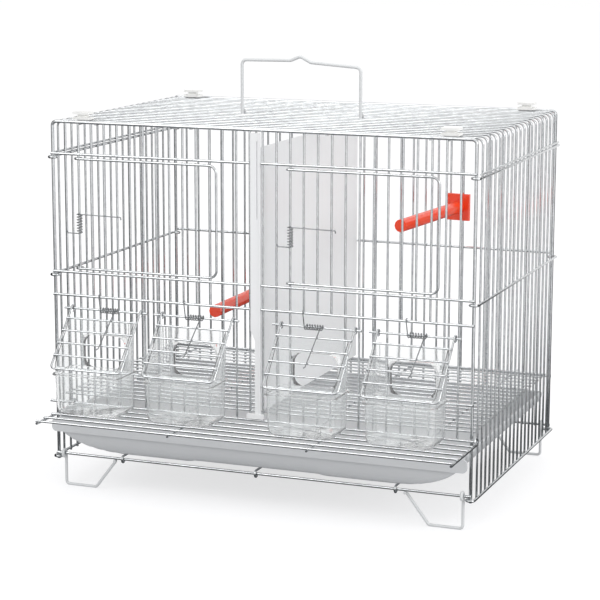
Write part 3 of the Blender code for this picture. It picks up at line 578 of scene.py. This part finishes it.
class CAGE_OT_side_panels(CagePiece, bpy.types.Operator):
    """Side panels: uprights on rails whose ends are bent round the corner posts"""

    bl_idname = "cage.side_panels"
    bl_label = "Side panels"

    def build(self):
        s, w = sizes(), wires()
        reach = PACKED["post"] + w.gap + PACKED["rail"]
        levels = [height - s.side_drop for height in (s.bottom_rail, s.door_sill, s.door_head)]
        low, high = levels[0] - w.overhang, levels[-1] + w.overhang
        for name, side in (("left", -1), ("right", 1)):
            out = X * side
            rail_x = side * (HALF_WIDTH + reach)
            upright_x = rail_x - side * w.rail_layer
            rails = [
                np.concatenate([
                    arc(at(side * HALF_WIDTH, FRONT_Y, height), reach, out, Y, -HOOK_TURN, 0),
                    arc(at(side * HALF_WIDTH, BACK_Y, height), reach, out, Y, 0, HOOK_TURN),
                ])
                for height in levels
            ]
            uprights = [(upright_x, y, low, high) for y in side_places()]
            shapes = [tubes(rails, w.rail, sides=12), pillars(uprights, w.upright)]
            piece(f"{name}_side_wires", shapes, finish_named(zinc_plate), "cage", "wire",
                  f"{name}_side_panel")


class CAGE_OT_roof_panel(CagePiece, bpy.types.Operator):
    """Roof: cross wires bent down at both sides, side rails and long wires underneath"""

    bl_idname = "cage.roof_panel"
    bl_label = "Roof panel"

    def build(self):
        s, w = sizes(), wires()
        low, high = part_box("roof_panel")
        rail_z = s.door_head - s.side_drop + 2 * PACKED["rail"] + w.gap
        rail_x = high.x - PACKED["rail"]
        side_x, foot = rail_x - w.rail_layer, rail_z - w.overhang
        # Radius of the bends, and how far in from the posts' middle the long wires lie
        bend, long_wires_in = 0.006, (0.0256, 0.042, 0.1355)
        bent = [
            rounded([at(-side_x, y, foot), at(-side_x, y, s.roof_height),
                     at(side_x, y, s.roof_height), at(side_x, y, foot)], bend)
            for y in side_places()
        ]
        under = s.roof_height - w.light_layer
        places = [(side * (HALF_WIDTH - inset), under) for side in (-1, 1) for inset in long_wires_in]
        places += [(side * rail_x, rail_z) for side in (-1, 1)]
        starts = np.array([at(x, low.y, z) for x, z in places])
        shapes = [tubes(bent, w.upright), bars(starts, starts + Y * (high.y - low.y), w.upright)]
        piece("roof_wires", shapes, finish_named(zinc_plate), "cage", "wire", "roof_panel")


class CAGE_OT_floor_grid(CagePiece, bpy.types.Operator):
    """Floor grid: cross wires on four stays that rest on the floor rails"""

    bl_idname = "cage.floor_grid"
    bl_label = "Floor grid"

    def build(self):
        s, w = sizes(), wires()
        low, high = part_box("floor_grid")
        stay_z = s.floor_rail + PACKED["rail"] + w.gap + PACKED["upright"]
        starts = np.array([at(low.x, y, stay_z + w.light_layer) for y in side_places()])
        # Each stay runs midway between two of the front uprights
        stay_xs = [column(side, count) for side in (-1, 1) for count in (4.5, 12.5)]
        stays = np.array([at(x, low.y, stay_z) for x in stay_xs])
        shapes = [
            bars(starts, starts + X * (high.x - low.x), w.upright),
            bars(stays, stays + Y * (high.y - low.y), w.upright),
        ]
        piece("floor_wires", shapes, finish_named(zinc_plate), "cage", "wire", "floor_grid")


class CAGE_OT_feeder_shelf(CagePiece, bpy.types.Operator):
    """Feeder shelf: long wires on two arms that end in eyes round the floor rail"""

    bl_idname = "cage.feeder_shelf"
    bl_label = "Feeder shelf"

    def build(self):
        s, w = sizes(), wires()
        reach = 2 * PACKED["rail"] + w.gap
        arm_z = s.floor_rail - reach
        bar_z = arm_z + w.rail_layer
        front = FRONT_Y - s.shelf_depth - w.overhang
        arm_xs = (-HALF_WIDTH + s.shelf_left_in, HALF_WIDTH + s.shelf_right_out)
        arms = [
            np.concatenate([
                arc(at(x, FRONT_Y - w.rail_layer, s.floor_rail), reach, -Z, -Y, -HOOK_TURN, 0),
                at(x, front, arm_z)[None],
            ])
            for x in arm_xs
        ]
        ys = FRONT_Y - s.shelf_depth * np.arange(1, s.shelf_bars + 1) / s.shelf_bars
        starts = np.array([at(arm_xs[0] - w.overhang, y, bar_z) for y in ys])
        middle, stay_z = sum(arm_xs) / 2, bar_z - w.light_layer
        stays = np.array([at(middle + side * s.shelf_stay, front, stay_z) for side in (-1, 1)])
        depth = s.shelf_depth * (1 - 1 / s.shelf_bars) + 2 * w.overhang
        shapes = [
            tubes(arms, w.rail, sides=12),
            bars(starts, starts + X * (arm_xs[1] - arm_xs[0] + 2 * w.overhang), w.upright),
            bars(stays, stays + Y * depth, w.upright),
        ]
        piece("shelf_wires", shapes, finish_named(zinc_plate), "cage", "wire", "feeder_shelf")


class CAGE_OT_feet(CagePiece, bpy.types.Operator):
    """Feet and tray runners: bent wires hooked on the bottom rails"""

    bl_idname = "cage.feet"
    bl_label = "Feet and tray runners"

    def build(self):
        s, w = sizes(), wires()
        reach = PACKED["rail"] + w.gap + PACKED["foot"]
        # From the corner post's middle in to the leg and to the brace, the toe's length, how far the
        # brace's end passes the rail's middle, and the radius of the bends
        leg_in, brace_in, toe, past, bend = 0.0068, 0.059, 0.031, 0.0015, 0.003
        under = s.bottom_rail - w.rail - w.foot
        for end, y, inwards in (("front", FRONT_Y - w.rail_layer, Y), ("back", BACK_Y + w.rail_layer, -Y)):
            plane, brace_y = y + inwards[1] * reach, y - inwards[1] * past
            for name, side in (("left", -1), ("right", 1)):
                leg_x, brace_x = side * (HALF_WIDTH - leg_in), side * (HALF_WIDTH - brace_in)
                eye = arc(at(leg_x, y, s.bottom_rail), reach, inwards, -Z, -HOOK_TURN, 0)
                corners = [eye[-1], at(leg_x, plane, w.foot), at(leg_x - side * toe, plane, w.foot),
                           at(brace_x, plane, under), at(brace_x, brace_y, under)]
                path = np.concatenate([eye[:-1], rounded(corners, bend)])
                node = f"{end}_{name}_foot"
                piece(f"{node}_wire", [tubes(path, w.foot, sides=14)], finish_named(pale_lacquer), "cage",
                      "wire", node)
        reach, runner_x = PACKED["rail"] + w.gap + PACKED["upright"], 0.1325
        for name, x in (("left", -runner_x), ("middle", 0.0), ("right", runner_x)):
            front = arc(at(x, FRONT_Y - w.rail_layer, s.bottom_rail), reach, Z, Y, -HOOK_TURN, 0)
            back = arc(at(x, BACK_Y + w.rail_layer, s.bottom_rail), reach, Z, Y, 0, HOOK_TURN)
            node = f"{name}_tray_runner"
            shape = tubes(np.concatenate([front, back]), w.upright, sides=12)
            piece(f"{node}_wire", [shape], finish_named(zinc_plate), "cage", "wire", node)


class CAGE_OT_doors(CagePiece, bpy.types.Operator):
    """Doors: a frame wire that ends in two eyes on the hinge upright, and upright bars behind it"""

    bl_idname = "cage.doors"
    bl_label = "Doors"

    def build(self):
        s, w = sizes(), wires()
        reach = PACKED["upright"] + w.gap + PACKED["door"]
        # From the rails in to the frame wire, from the last upright out to the free edge, and the radius
        # of the corners
        inset, past, bend = 0.004, 0.0077, 0.007
        low, high = s.door_sill + inset, s.door_head - inset
        front = FRONT_Y - reach
        bar_y = front + PACKED["door"] + PACKED["upright"] - WELD
        for name, (side, hinge, latch) in DOORS.items():
            hinge_x, edge_x = column(side, hinge), column(side, latch) + past
            bottom = arc(at(hinge_x, FRONT_Y, low), reach, -Y, X, -HOOK_TURN, 0)
            top = arc(at(hinge_x, FRONT_Y, high), reach, -Y, X, -HOOK_TURN, 0)[::-1]
            corners = [bottom[-1], at(edge_x, front, low), at(edge_x, front, high), top[0]]
            path = np.concatenate([bottom[:-1], rounded(corners, bend), top[1:]])
            first, last = sorted((hinge, latch))
            xs = [column(side, count) for count in range(first + 1, last)]
            places = [(x, bar_y, low - w.overhang, high + w.overhang) for x in xs]
            shapes = [tubes(path, w.door, sides=12), pillars(places, w.upright)]
            body = f"{name}_door"
            piece(f"{body}_wires", shapes, finish_named(zinc_plate), body, "wire", body)


class CAGE_OT_door_springs(CagePiece, bpy.types.Operator):
    """Door springs: a coil on the hinge upright with one leg over the door and one on the panel"""

    bl_idname = "cage.door_springs"
    bl_label = "Door springs"

    def build(self):
        # How far the coil stands above the door sill, its length, and the radius of the bends
        lift, span, bend = 0.0362, 0.0178, 0.0008
        # Corners of the leg on the panel, from the coil's axis at its lower end, and of the leg over the
        # door, from its upper end
        tail = ((-0.0115, -0.002, 0.0018), (-0.0112, -0.002, 0.0))
        leg = ((COIL_RADIUS, -0.00285, 0.0), (0.043, -0.00285, -0.0006), (0.0432, -0.00285, -0.0030))
        for name, (side, hinge, _) in DOORS.items():
            x = column(side, hinge)
            middle = at(x, FRONT_Y, sizes().door_sill + lift + span / 2)
            turns = coil(middle, COIL_RADIUS, Z, -Y, X, span, COIL_TURNS)
            first, last = at(x, FRONT_Y, turns[0, 2]), at(x, FRONT_Y, turns[-1, 2])
            path = np.concatenate([
                rounded([*(first + tail), turns[0]], bend)[:-1],
                turns,
                rounded([turns[-1], *(last + leg)], bend)[1:],
            ])
            body = f"{name}_door_spring"
            piece(f"{body}_coil", [tubes(path, wires().spring, sides=8)], finish_named(spring_steel),
                  "cage", "spring_steel", body)


def flap_place(side, first, last):
    """The middle of a feeder's axle, and the directions down the resting flap and out of it."""
    middle = (column(side, first) + column(side, last)) / 2
    pivot = at(middle, FRONT_Y - wires().light_layer, sizes().feeder_head - AXLE_DROP)
    sine, cosine = math.sin(FLAP_TILT), math.cos(FLAP_TILT)
    return pivot, at(0, -sine, -cosine), at(0, -cosine, sine)


class CAGE_OT_flaps(CagePiece, bpy.types.Operator):
    """Feeder flaps: a frame wire with two eyes on the axle, and four cross bars on top of it"""

    bl_idname = "cage.flaps"
    bl_label = "Feeder flaps"

    def build(self):
        w = wires()
        reach = PACKED["upright"] + w.gap + PACKED["flap"]
        # How far the frame sits from the middle of its opening, its half width and length, the radius of
        # its corners, how far the cross bars stand out past it, and how many they are
        shift, half_width, drop, bend, bar_out, cross_bars = 0.0014, 0.0348, 0.0655, 0.004, 0.0006, 4
        share = (np.arange(1, cross_bars + 1) / (cross_bars + 1))[:, None]
        for name, place in FEEDERS.items():
            pivot, down, out = flap_place(*place)
            pivot = pivot + X * shift
            half = X * half_width
            left = arc(pivot - half, reach, out, down, -HOOK_TURN, 0)
            right = arc(pivot + half, reach, out, down, -HOOK_TURN, 0)[::-1]
            tip = down * drop
            corners = [left[-1], left[-1] + tip, right[0] + tip, right[0]]
            path = np.concatenate([left[:-1], rounded(corners, bend), right[1:]])
            lift = out * (reach + 2 * PACKED["flap"] - WELD)
            places = pivot + lift + tip * share
            wide = half + X * bar_out
            shapes = [tubes(path, w.flap, sides=12), bars(places - wide, places + wide, w.flap)]
            piece(f"flap_{name}_wires", shapes, finish_named(zinc_plate), f"flap_{name}", "wire",
                  f"feeder_flap_{name}")


class CAGE_OT_flap_springs(CagePiece, bpy.types.Operator):
    """Flap springs: a coil on the axle with one leg over the flap and one hooked on the rail above"""

    bl_idname = "cage.flap_springs"
    bl_label = "Flap springs"

    def build(self):
        s, w = sizes(), wires()
        span, bend = 0.017, 0.0009
        # How far the leg on the flap runs down it and aside, and how far its tip goes on in both ways
        leg_down, leg_aside, tip_down, tip_aside = 0.041, 0.004, 0.0016, 0.0014
        # How far the hook on the rail stands aside from the coil's end at its top and at its foot, how
        # far its end reaches behind the rail's middle, and how far its foot lies below it
        top_aside, foot_aside, behind, below = 0.0016, 0.0006, 0.001, 0.006
        over = PACKED["upright"] + 4 * PACKED["flap"] - WELD + 2 * w.gap + PACKED["spring"]
        rail_y = FRONT_Y - w.rail_layer - PACKED["rail"] - w.gap - PACKED["spring"]
        top = s.feeder_head + PACKED["rail"] + w.gap + PACKED["spring"]
        for name, place in FEEDERS.items():
            pivot, down, out = flap_place(*place)
            turns = coil(pivot + X * SPRING_SHIFTS[name], COIL_RADIUS, X, -Y, -Z, span, COIL_TURNS)
            shoulder = pivot + out * over + down * COIL_RADIUS
            shoulder[0] = turns[-1, 0]
            tip = shoulder + down * leg_down - X * leg_aside
            start = turns[0, 0]
            hook = rounded([
                at(start - top_aside, FRONT_Y - w.rail_layer + behind, top),
                at(start - top_aside, rail_y, top),
                at(start - foot_aside, rail_y, s.feeder_head - below),
                turns[0],
            ], bend)
            leg = rounded([turns[-1], shoulder, tip, tip + down * tip_down - X * tip_aside], bend)
            path = np.concatenate([hook[:-1], turns, leg[1:]])
            piece(f"flap_{name}_coil", [tubes(path, w.spring, sides=8)], finish_named(spring_steel),
                  "cage", "spring_steel", f"flap_spring_{name}")


class CAGE_OT_cups(CagePiece, bpy.types.Operator):
    """Cups: clear moulded shells with a high back, sides that slope under the flap and a rolled lip"""

    bl_idname = "cage.cups"
    bl_label = "Cups"

    def shell(self, pivot, back, bottom, wall):
        """A wall of the cup as rows of rounded rectangles, from the base up to a rim that follows the flap.
        The outer wall steps out and in again at the lip. The rows below the lip rise as
        sin(share pi / 2)^1.5, and the rim is the lower of the cup's top and the slope under the flap."""
        s = sizes()
        low_rows, high_rows, count = 26, 16, 96
        # The lip's height, the slant of its edges and how far it stands out
        lip, slant, lip_out = 0.0012, 0.0002, 0.0022
        # How much each side leans in from the top to the base, the share that the base is drawn in by and
        # over what height, and how far the sloped rim lies above the flap's plane through its axle
        lean, base_in, base_high, rim_rise = 0.002, 0.06, 0.004, 0.0015
        ring = rounded_rectangle(s.cup_width / 2 - wall, s.cup_depth / 2 - wall, s.cup_corner - wall, count)
        centre_y = back - s.cup_depth / 2
        fall = (pivot[1] - centre_y - ring[:, 1]) * math.tan(math.pi / 2 - FLAP_TILT)
        rim = np.minimum(s.cup_top, pivot[2] + rim_rise - fall)
        under, over = s.cup_lip, s.cup_lip + lip
        share = np.linspace(0, 1, low_rows)[:, None]
        below = bottom + wall + (under - bottom - wall) * np.sin(share * np.pi / 2) ** 1.5 + 0 * rim
        above = over + (rim - over) * np.linspace(0, 1, high_rows)[:, None]
        step = np.stack([np.full(count, under + slant), np.full(count, over - slant)])
        height = np.concatenate([below, step, above])
        out = np.zeros((len(height), 1))
        out[low_rows:low_rows + 2] = lip_out if wall == 0 else 0
        rise = (height - bottom) / (s.cup_top - bottom)
        taper = 1 - (1 - rise) * 2 * lean / s.cup_width
        foot = 1 - base_in * np.clip(1 - (height - bottom - wall) / base_high, 0, 1) ** 2
        xs = pivot[0] + ring[:, 0] * taper * foot * (1 + 2 * out / s.cup_width)
        ys = back + (centre_y - back + ring[:, 1] * foot * (1 + 2 * out / s.cup_depth)) * taper
        return np.stack([xs, np.minimum(ys, back - wall), height], -1)

    def build(self):
        for name, place in FEEDERS.items():
            pivot, _, _ = flap_place(*place)
            low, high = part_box(f"cup_{name}")
            outer = self.shell(pivot, high.y, low.z, 0)
            inner = self.shell(pivot, high.y, low.z, sizes().cup_wall)
            rows, count = outer.shape[:2]
            points = np.concatenate([outer.reshape(-1, 3), inner.reshape(-1, 3)])
            walls = sheet_faces(rows, count, round_columns=True)
            index = np.arange(2 * rows * count).reshape(2, rows, count)
            edge, beside = index[:, -1], np.roll(index[:, -1], -1, axis=1)
            rim = np.stack([edge[0], beside[0], beside[1], edge[1]], -1)
            bases = [index[0, 0, ::-1][None], index[1, 0][None]]
            faces = [walls, walls[:, ::-1] + rows * count, rim, *bases]
            made = piece(f"cup_{name}_shell", [(points, faces)], finish_named(clear_plastic),
                         f"cup_{name}", "clear_plastic", f"cup_{name}", sharp=50)
            made.visible_shadow = False
            made.visible_diffuse = False
            self.cut_hole(made, pivot[0], high.y)

    def cut_hole(self, made, middle, back):
        """Cuts the rounded access hole in the back wall with a block."""
        half_x, half_z, corner, count, height, reach = 0.020, 0.015, 0.009, 48, 0.132, 0.004
        outline = rounded_rectangle(half_x, half_z, corner, count) + (middle, height)
        mesh = mesh_of("hole", [plate(outline, back - reach, back + reach)])
        cutter = bpy.data.objects.new("hole", mesh)
        bpy.context.scene.collection.objects.link(cutter)
        cut = made.modifiers.new("hole", "BOOLEAN")
        cut.operation, cut.object = "DIFFERENCE", cutter
        bpy.context.view_layer.update()
        graph = bpy.context.evaluated_depsgraph_get()
        done = bpy.data.meshes.new_from_object(made.evaluated_get(graph))
        made.modifiers.clear()
        made.data = done
        bpy.data.objects.remove(cutter)


class CAGE_OT_tray(CagePiece, bpy.types.Operator):
    """Tray: a shallow pan with long sloping ends and a raised middle, behind a rounded apron"""

    bl_idname = "cage.tray"
    bl_label = "Tray"

    def build(self):
        """Its slopes are quarters of ellipses: the height is level + (rim - level)(1 - sqrt(1 - share^2)),
        where the share goes from 0 at a slope's foot to 1 at the rim. The raised middle is a logistic
        curve."""
        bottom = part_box("tray")[0].z
        rim, wall, columns, rows = 0.066, 0.0016, 161, 81
        # The gap to the posts, how far the pan stands out in front and ends short of the back, and the
        # length of its slopes at the sides and at the front and back
        clear, front_out, back_in, side_slope, end_slope = 0.0027, 0.0118, 0.008, 0.0735, 0.012
        # The raised middle's height, half width and softness
        raised, raised_half, softness = 0.0012, 0.063, 0.0012
        half_x = HALF_WIDTH - PACKED["post"] - clear
        front, back = FRONT_Y - front_out, BACK_Y - back_in
        middle, half_y = (front + back) / 2, (back - front) / 2
        u = np.sin(np.linspace(-np.pi / 2, np.pi / 2, columns))[None]
        v = np.sin(np.linspace(-np.pi / 2, np.pi / 2, rows))[:, None]
        xs, ys = half_x * u + 0 * v, middle + half_y * v + 0 * u
        share_x = np.clip((np.abs(xs) - half_x) / side_slope + 1, 0, 1)
        share_y = np.clip((np.abs(ys - middle) - half_y) / end_slope + 1, 0, 1)
        share = np.maximum(share_x, share_y)
        level = bottom + raised / (1 + np.exp((np.abs(xs) - raised_half) / softness))
        heights = level + (rim - level) * (1 - np.sqrt(1 - share ** 2))
        under = np.stack([xs, ys, heights], -1)
        inside = under + [0, 0, wall]
        inside[..., 0] *= 1 - wall / half_x
        inside[..., 1] = middle + (ys - middle) * (1 - 2 * wall / (back - front))
        # The apron's half length, half height and corner, how far its middle lies below the rim, and half
        # of its thickness
        apron_half, apron_high, corner, apron_drop, apron_thick = 0.2, 0.006, 0.0042, 0.0052, 0.0012
        outline = rounded_rectangle(apron_half, apron_high, corner, 64) + (0, rim - apron_drop)
        apron = plate(outline, front - apron_thick, front + apron_thick)
        piece("tray_pan", [closed(under, inside), apron], finish_named(tray_plastic), "tray",
              "tray_plastic", "tray", sharp=50)


class CAGE_OT_divider(CagePiece, bpy.types.Operator):
    """Divider: a faintly ribbed sheet behind a flange with a rib, a groove and a cut-back lower edge"""

    bl_idname = "cage.divider"
    bl_label = "Divider"

    def flange(self, low, high, half, front, back):
        """Two grids over the flange's face. Its left edge steps in below the cut, and the front grid stands
        forward at the rib and lies back in the groove."""
        cut_top, cut_run, cut_in = 0.1626, 0.0088, 0.0039
        groove_x, groove_half, groove_low, groove_high, groove_in = 0.0016, 0.0005, 0.2625, 0.3312, 0.0011
        rib_wide, rib_edge, rib_out = 0.0016, 0.0004, 0.0005
        # Stretches of rows, each with its first and last height and how many there are
        stretches = ((low, 0.1530, 8), (0.1536, 0.1630, 8), (0.17, 0.2620, 8),
                     (0.2630, 0.3310, 24), (0.3315, high, 4))
        heights = np.concatenate([np.linspace(*stretch) for stretch in stretches])[:, None]
        left = -half + cut_in * np.clip((cut_top - heights) / cut_run, 0, 1)
        xs = left + (half - left) * np.linspace(0, 1, 61)[None]
        groove = (np.abs(xs - groove_x) < groove_half) & (heights > groove_low) & (heights < groove_high)
        rib = np.clip((xs - half + rib_wide) / rib_edge, 0, 1)
        level = 0 * xs + heights
        face = np.stack([xs, front + groove_in * groove - rib_out * rib, level], -1)
        return closed(np.stack([xs, np.full_like(xs, back), level], -1), face)

    def build(self):
        """The sheet's half thickness swells and shrinks with the cosine of its depth."""
        s, w = sizes(), wires()
        low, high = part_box("divider")
        # Half of the flange's thickness, the sheet's gap below the roof and its half thickness, and the
        # swell and spacing of its ribs
        thick, top_gap, sheet, ripple, spacing = 0.0008, 0.016, 0.00096, 0.00004, 0.0125
        half = s.half_slot - PACKED["upright"] - w.gap
        back = FRONT_Y - w.rail_layer + thick
        front = back - 2 * thick
        ys = np.linspace(back - thick, high.y, 241)[None]
        levels = np.array([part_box("floor_grid")[1].z + w.gap, s.roof_height - top_gap])[:, None]
        swell = sheet + ripple * np.cos(2 * np.pi * (ys - back) / spacing) + 0 * levels
        right = np.stack([swell, ys + 0 * levels, levels + 0 * ys], -1)
        # Half width, half height and corner of the toe
        toe_x, toe_z, corner = 0.008, 0.00225, 0.0006
        toe = rounded_rectangle(toe_x, toe_z, corner, 32) + (0, low.z + toe_z)
        shapes = [closed(right * (-1, 1, 1), right), self.flange(low.z, high.z, half, front, back),
                  plate(toe, low.y, front + WELD)]
        piece("divider_sheet", shapes, finish_named(divider_plastic), "divider", "divider_plastic", "divider")


def dress(node, maker):
    """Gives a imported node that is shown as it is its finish."""
    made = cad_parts[node]
    made.data.materials.clear()
    made.data.materials.append(finish_named(maker))


class CAGE_OT_handle(CagePiece, bpy.types.Operator):
    """Handle: a bail with two eyes on the middle roof wire and a small peak"""

    bl_idname = "cage.handle"
    bl_label = "Handle"

    def build(self):
        w = wires()
        y, z = (FRONT_Y + BACK_Y) / 2, sizes().roof_height
        reach = PACKED["upright"] + w.gap + PACKED["handle"]
        # X of each corner and its height above the eyes, and the radius of the bends
        corners = ((-0.0677, 0.0504), (-0.0187, 0.0511), (-0.0092, 0.0550),
                   (0.0013, 0.0496), (0.0503, 0.0462))
        bend = 0.0045
        left = arc(at(corners[0][0], y, z), reach, -Y, Z, -HOOK_TURN, 0)
        right = arc(at(corners[-1][0], y, z), reach, -Y, Z, -HOOK_TURN, 0)[::-1]
        bail = rounded([left[-1], *(at(x, y - reach, z + up) for x, up in corners), right[0]], bend)
        path = np.concatenate([left[:-1], bail, right[1:]])
        piece("handle_bail", [tubes(path, w.handle, sides=16)], finish_named(pale_lacquer), "handle",
              "wire", "handle")


class CAGE_OT_perches(CagePiece, bpy.types.Operator):
    """Perches: take their red finish"""

    bl_idname = "cage.perches"
    bl_label = "Perches"

    def build(self):
        dress("left_perch", perch_plastic)
        dress("right_perch", perch_plastic)


class CAGE_OT_clips(CagePiece, bpy.types.Operator):
    """Stacking clips: take their white finish"""

    bl_idname = "cage.clips"
    bl_label = "Stacking clips"

    def build(self):
        for end in ("front", "back"):
            for side in ("left", "right"):
                dress(f"{end}_{side}_clip", clip_plastic)


# Studio

class CAGE_OT_stage(CagePiece, bpy.types.Operator):
    """Stage: white floor and backdrop, soft lights and the camera"""

    bl_idname = "cage.stage"
    bl_label = "Stage"

    def build(self):
        self.floor()
        self.world()
        self.card("left_card", (-142, -48))
        self.card("right_card", (88, 148))
        # Painted shade: the low card stands for the cage's shadow under it, and the front card paints grey
        # reflections on the uprights
        self.flat_card("low_card", (-0.60, 0.42, 0.50, -0.45), (0.80, 0.80, -0.75, -0.75), colours().low_card)
        self.flat_card("front_card", (-0.9, 0.33, 0.76, -0.9), (-0.75, -0.75, -1.85, -1.85),
                       colours().front_card)
        self.light("key", (-1.4, -2.4, 2.6), size=1.6, power=22)
        self.light("top", (0.3, 0.3, 2.8), size=2.0, power=6)
        self.light("side", (2.6, -0.5, 1.2), size=1.6, power=26)
        self.camera()
        bpy.context.scene.view_settings.view_transform = "Standard"

    def strength(self, tree, hidden, shown):
        """The second number for rays that show the background as white, which are those of the camera, of
        gloss and of clear plastic, and the first number for all others."""
        path = add(tree, "ShaderNodeLightPath")
        seen = path.outputs["Is Camera Ray"]
        for name in ("Is Glossy Ray", "Is Transmission Ray"):
            seen = add(tree, "ShaderNodeMath", {0: seen, 1: path.outputs[name]}, operation="MAXIMUM")
        return add(tree, "ShaderNodeMapRange", {"Value": seen}, {"To Min": hidden, "To Max": shown})

    def floor(self):
        """A floor that glows by itself where it is seen, and adds only a little light of the lamps, so that
        a faint shadow is left."""
        material, tree = new_material("white studio floor")
        glow = self.strength(tree, 0.2, 0.63)
        light = add(tree, "ShaderNodeEmission", {"Strength": glow}, {"Color": (1, 1, 1, 1)})
        matt = add(tree, "ShaderNodeBsdfDiffuse", None, {"Color": (0.42, 0.42, 0.43, 1)})
        both = add(tree, "ShaderNodeAddShader", {0: light, 1: matt})
        add(tree, "ShaderNodeOutputMaterial", {"Surface": both})
        half, far = 6, 9
        points = np.array([at(-half, -half, 0), at(half, -half, 0), at(half, far, 0), at(-half, far, 0)])
        self.stage_mesh("studio_floor", points, np.array([[0, 1, 2, 3]]), material)

    def stage_mesh(self, name, points, faces, material):
        mesh = mesh_of(name, [(points, [faces])])
        mesh.materials.append(material)
        made = bpy.data.objects.new(name, mesh)
        bpy.context.scene.collection.objects.link(made)
        return made

    def card(self, name, span):
        """A dark card bent round the cage between two angles from -Y towards +X, which runs in over the
        floor. Only reflections show it: it paints dark reflected edges on the bright round wires in a white
        room."""
        near, away, lift, top = 0.42, 0.85, 0.0008, 0.8
        angle = np.radians(np.linspace(*span, 24))
        rim = np.stack([np.sin(angle), -np.cos(angle)], -1)
        profile = ((near, lift), (away, lift), (away, top))
        rows = [np.c_[radius * rim, np.full(len(rim), height)] for radius, height in profile]
        faces = sheet_faces(len(rows), len(rim))
        finish = self.card_finish("side_card", colours().card)
        self.unseen(self.stage_mesh(name, np.concatenate(rows), faces, finish))

    def card_finish(self, name, shade):
        """A card that glows with the same grey from every side, though it is no lamp: a painted dark
        reflection.
        """
        material, tree = new_material(name)
        glow = add(tree, "ShaderNodeEmission", None, {"Color": (*shade, 1)})
        add(tree, "ShaderNodeOutputMaterial", {"Surface": glow})
        return material

    def unseen(self, made):
        """Hides a card from all but reflections."""
        made.visible_camera = False
        made.visible_diffuse = False
        made.visible_transmission = False
        made.visible_shadow = False

    def flat_card(self, name, xs, ys, shade):
        """A card of four corners on the floor. The one below the cage stands in for the cage's shadow on the
        floor and paints shade on the lower edges of level wires through their reflections, and the one in
        front of it paints grey reflections on the fronts of upright wires."""
        lift = 0.0005
        points = np.stack([xs, ys, np.full(4, lift)], -1)
        finish = self.card_finish(name, shade)
        self.unseen(self.stage_mesh(name, points, np.array([[3, 2, 1, 0]]), finish))

    def world(self):
        world = bpy.data.worlds.new("white room")
        world.use_nodes = True
        tree = world.node_tree
        tree.nodes.clear()
        back = add(tree, "ShaderNodeBackground", {"Strength": self.strength(tree, 0.9, 1.0)},
                   {"Color": (1, 1, 1, 1)})
        add(tree, "ShaderNodeOutputWorld", {"Surface": back})
        bpy.context.scene.world = world

    def light(self, name, place, size, power):
        """A round lamp that points at the middle of the cage."""
        middle = Vector((0, 0, 0.17))
        lamp = bpy.data.lights.new(name, "AREA")
        lamp.shape, lamp.size, lamp.energy = "DISK", size, power
        made = bpy.data.objects.new(name, lamp)
        bpy.context.scene.collection.objects.link(made)
        made.location = place
        made.rotation_euler = (middle - made.location).to_track_quat("-Z", "Y").to_euler()

    def camera(self):
        """The photo's camera: turned to the left, pointed down, and rolled by a trace."""
        lens = bpy.data.cameras.new("camera")
        lens.lens, lens.sensor_width, lens.clip_start = 122.7, 36, 0.05
        made = bpy.data.objects.new("camera", lens)
        bpy.context.scene.collection.objects.link(made)
        place = Matrix.Translation((0.6812, FRONT_Y - 1.643, 0.5333))
        yaw, down, roll = math.radians(21.28), math.radians(10.92), math.radians(0.12)
        turn = Matrix.Rotation(yaw, 4, "Z") @ Matrix.Rotation(math.pi / 2 - down, 4, "X")
        made.matrix_world = place @ turn @ Matrix.Rotation(roll, 4, "Z")
        bpy.context.scene.camera = made


class CAGE_PT_panel(bpy.types.Panel):
    """The cage's pieces in the sidebar"""

    bl_label = "Wire breeding cage"
    bl_idname = "CAGE_PT_panel"
    bl_space_type = "VIEW_3D"
    bl_region_type = "UI"
    bl_category = "Cage"

    def draw(self, context):
        for group in (context.scene.cage_sizes, context.scene.cage_wires, context.scene.cage_colours):
            box = self.layout.box()
            for name in group.__annotations__:
                box.prop(group, name)
        for operator in OPERATORS:
            self.layout.operator(operator.bl_idname)


GROUPS = {"cage_sizes": CageSizes, "cage_wires": WireSizes, "cage_colours": CageColours}
OPERATORS = (
    CAGE_OT_front_panel, CAGE_OT_back_panel, CAGE_OT_side_panels, CAGE_OT_roof_panel, CAGE_OT_floor_grid,
    CAGE_OT_feeder_shelf, CAGE_OT_feet, CAGE_OT_doors, CAGE_OT_door_springs, CAGE_OT_flaps,
    CAGE_OT_flap_springs, CAGE_OT_cups, CAGE_OT_tray, CAGE_OT_divider, CAGE_OT_handle, CAGE_OT_perches,
    CAGE_OT_clips, CAGE_OT_stage,
)


def register():
    for made in (*GROUPS.values(), *OPERATORS, CAGE_PT_panel):
        bpy.utils.register_class(made)
    for name, group in GROUPS.items():
        setattr(bpy.types.Scene, name, PointerProperty(type=group))


def unregister():
    for name in GROUPS:
        delattr(bpy.types.Scene, name)
    for made in (CAGE_PT_panel, *reversed(OPERATORS), *GROUPS.values()):
        bpy.utils.unregister_class(made)


def main():
    register()
    for operator in OPERATORS:
        group, name = operator.bl_idname.split(".")
        getattr(getattr(bpy.ops, group), name)()


if __name__ == "__main__":
    main()
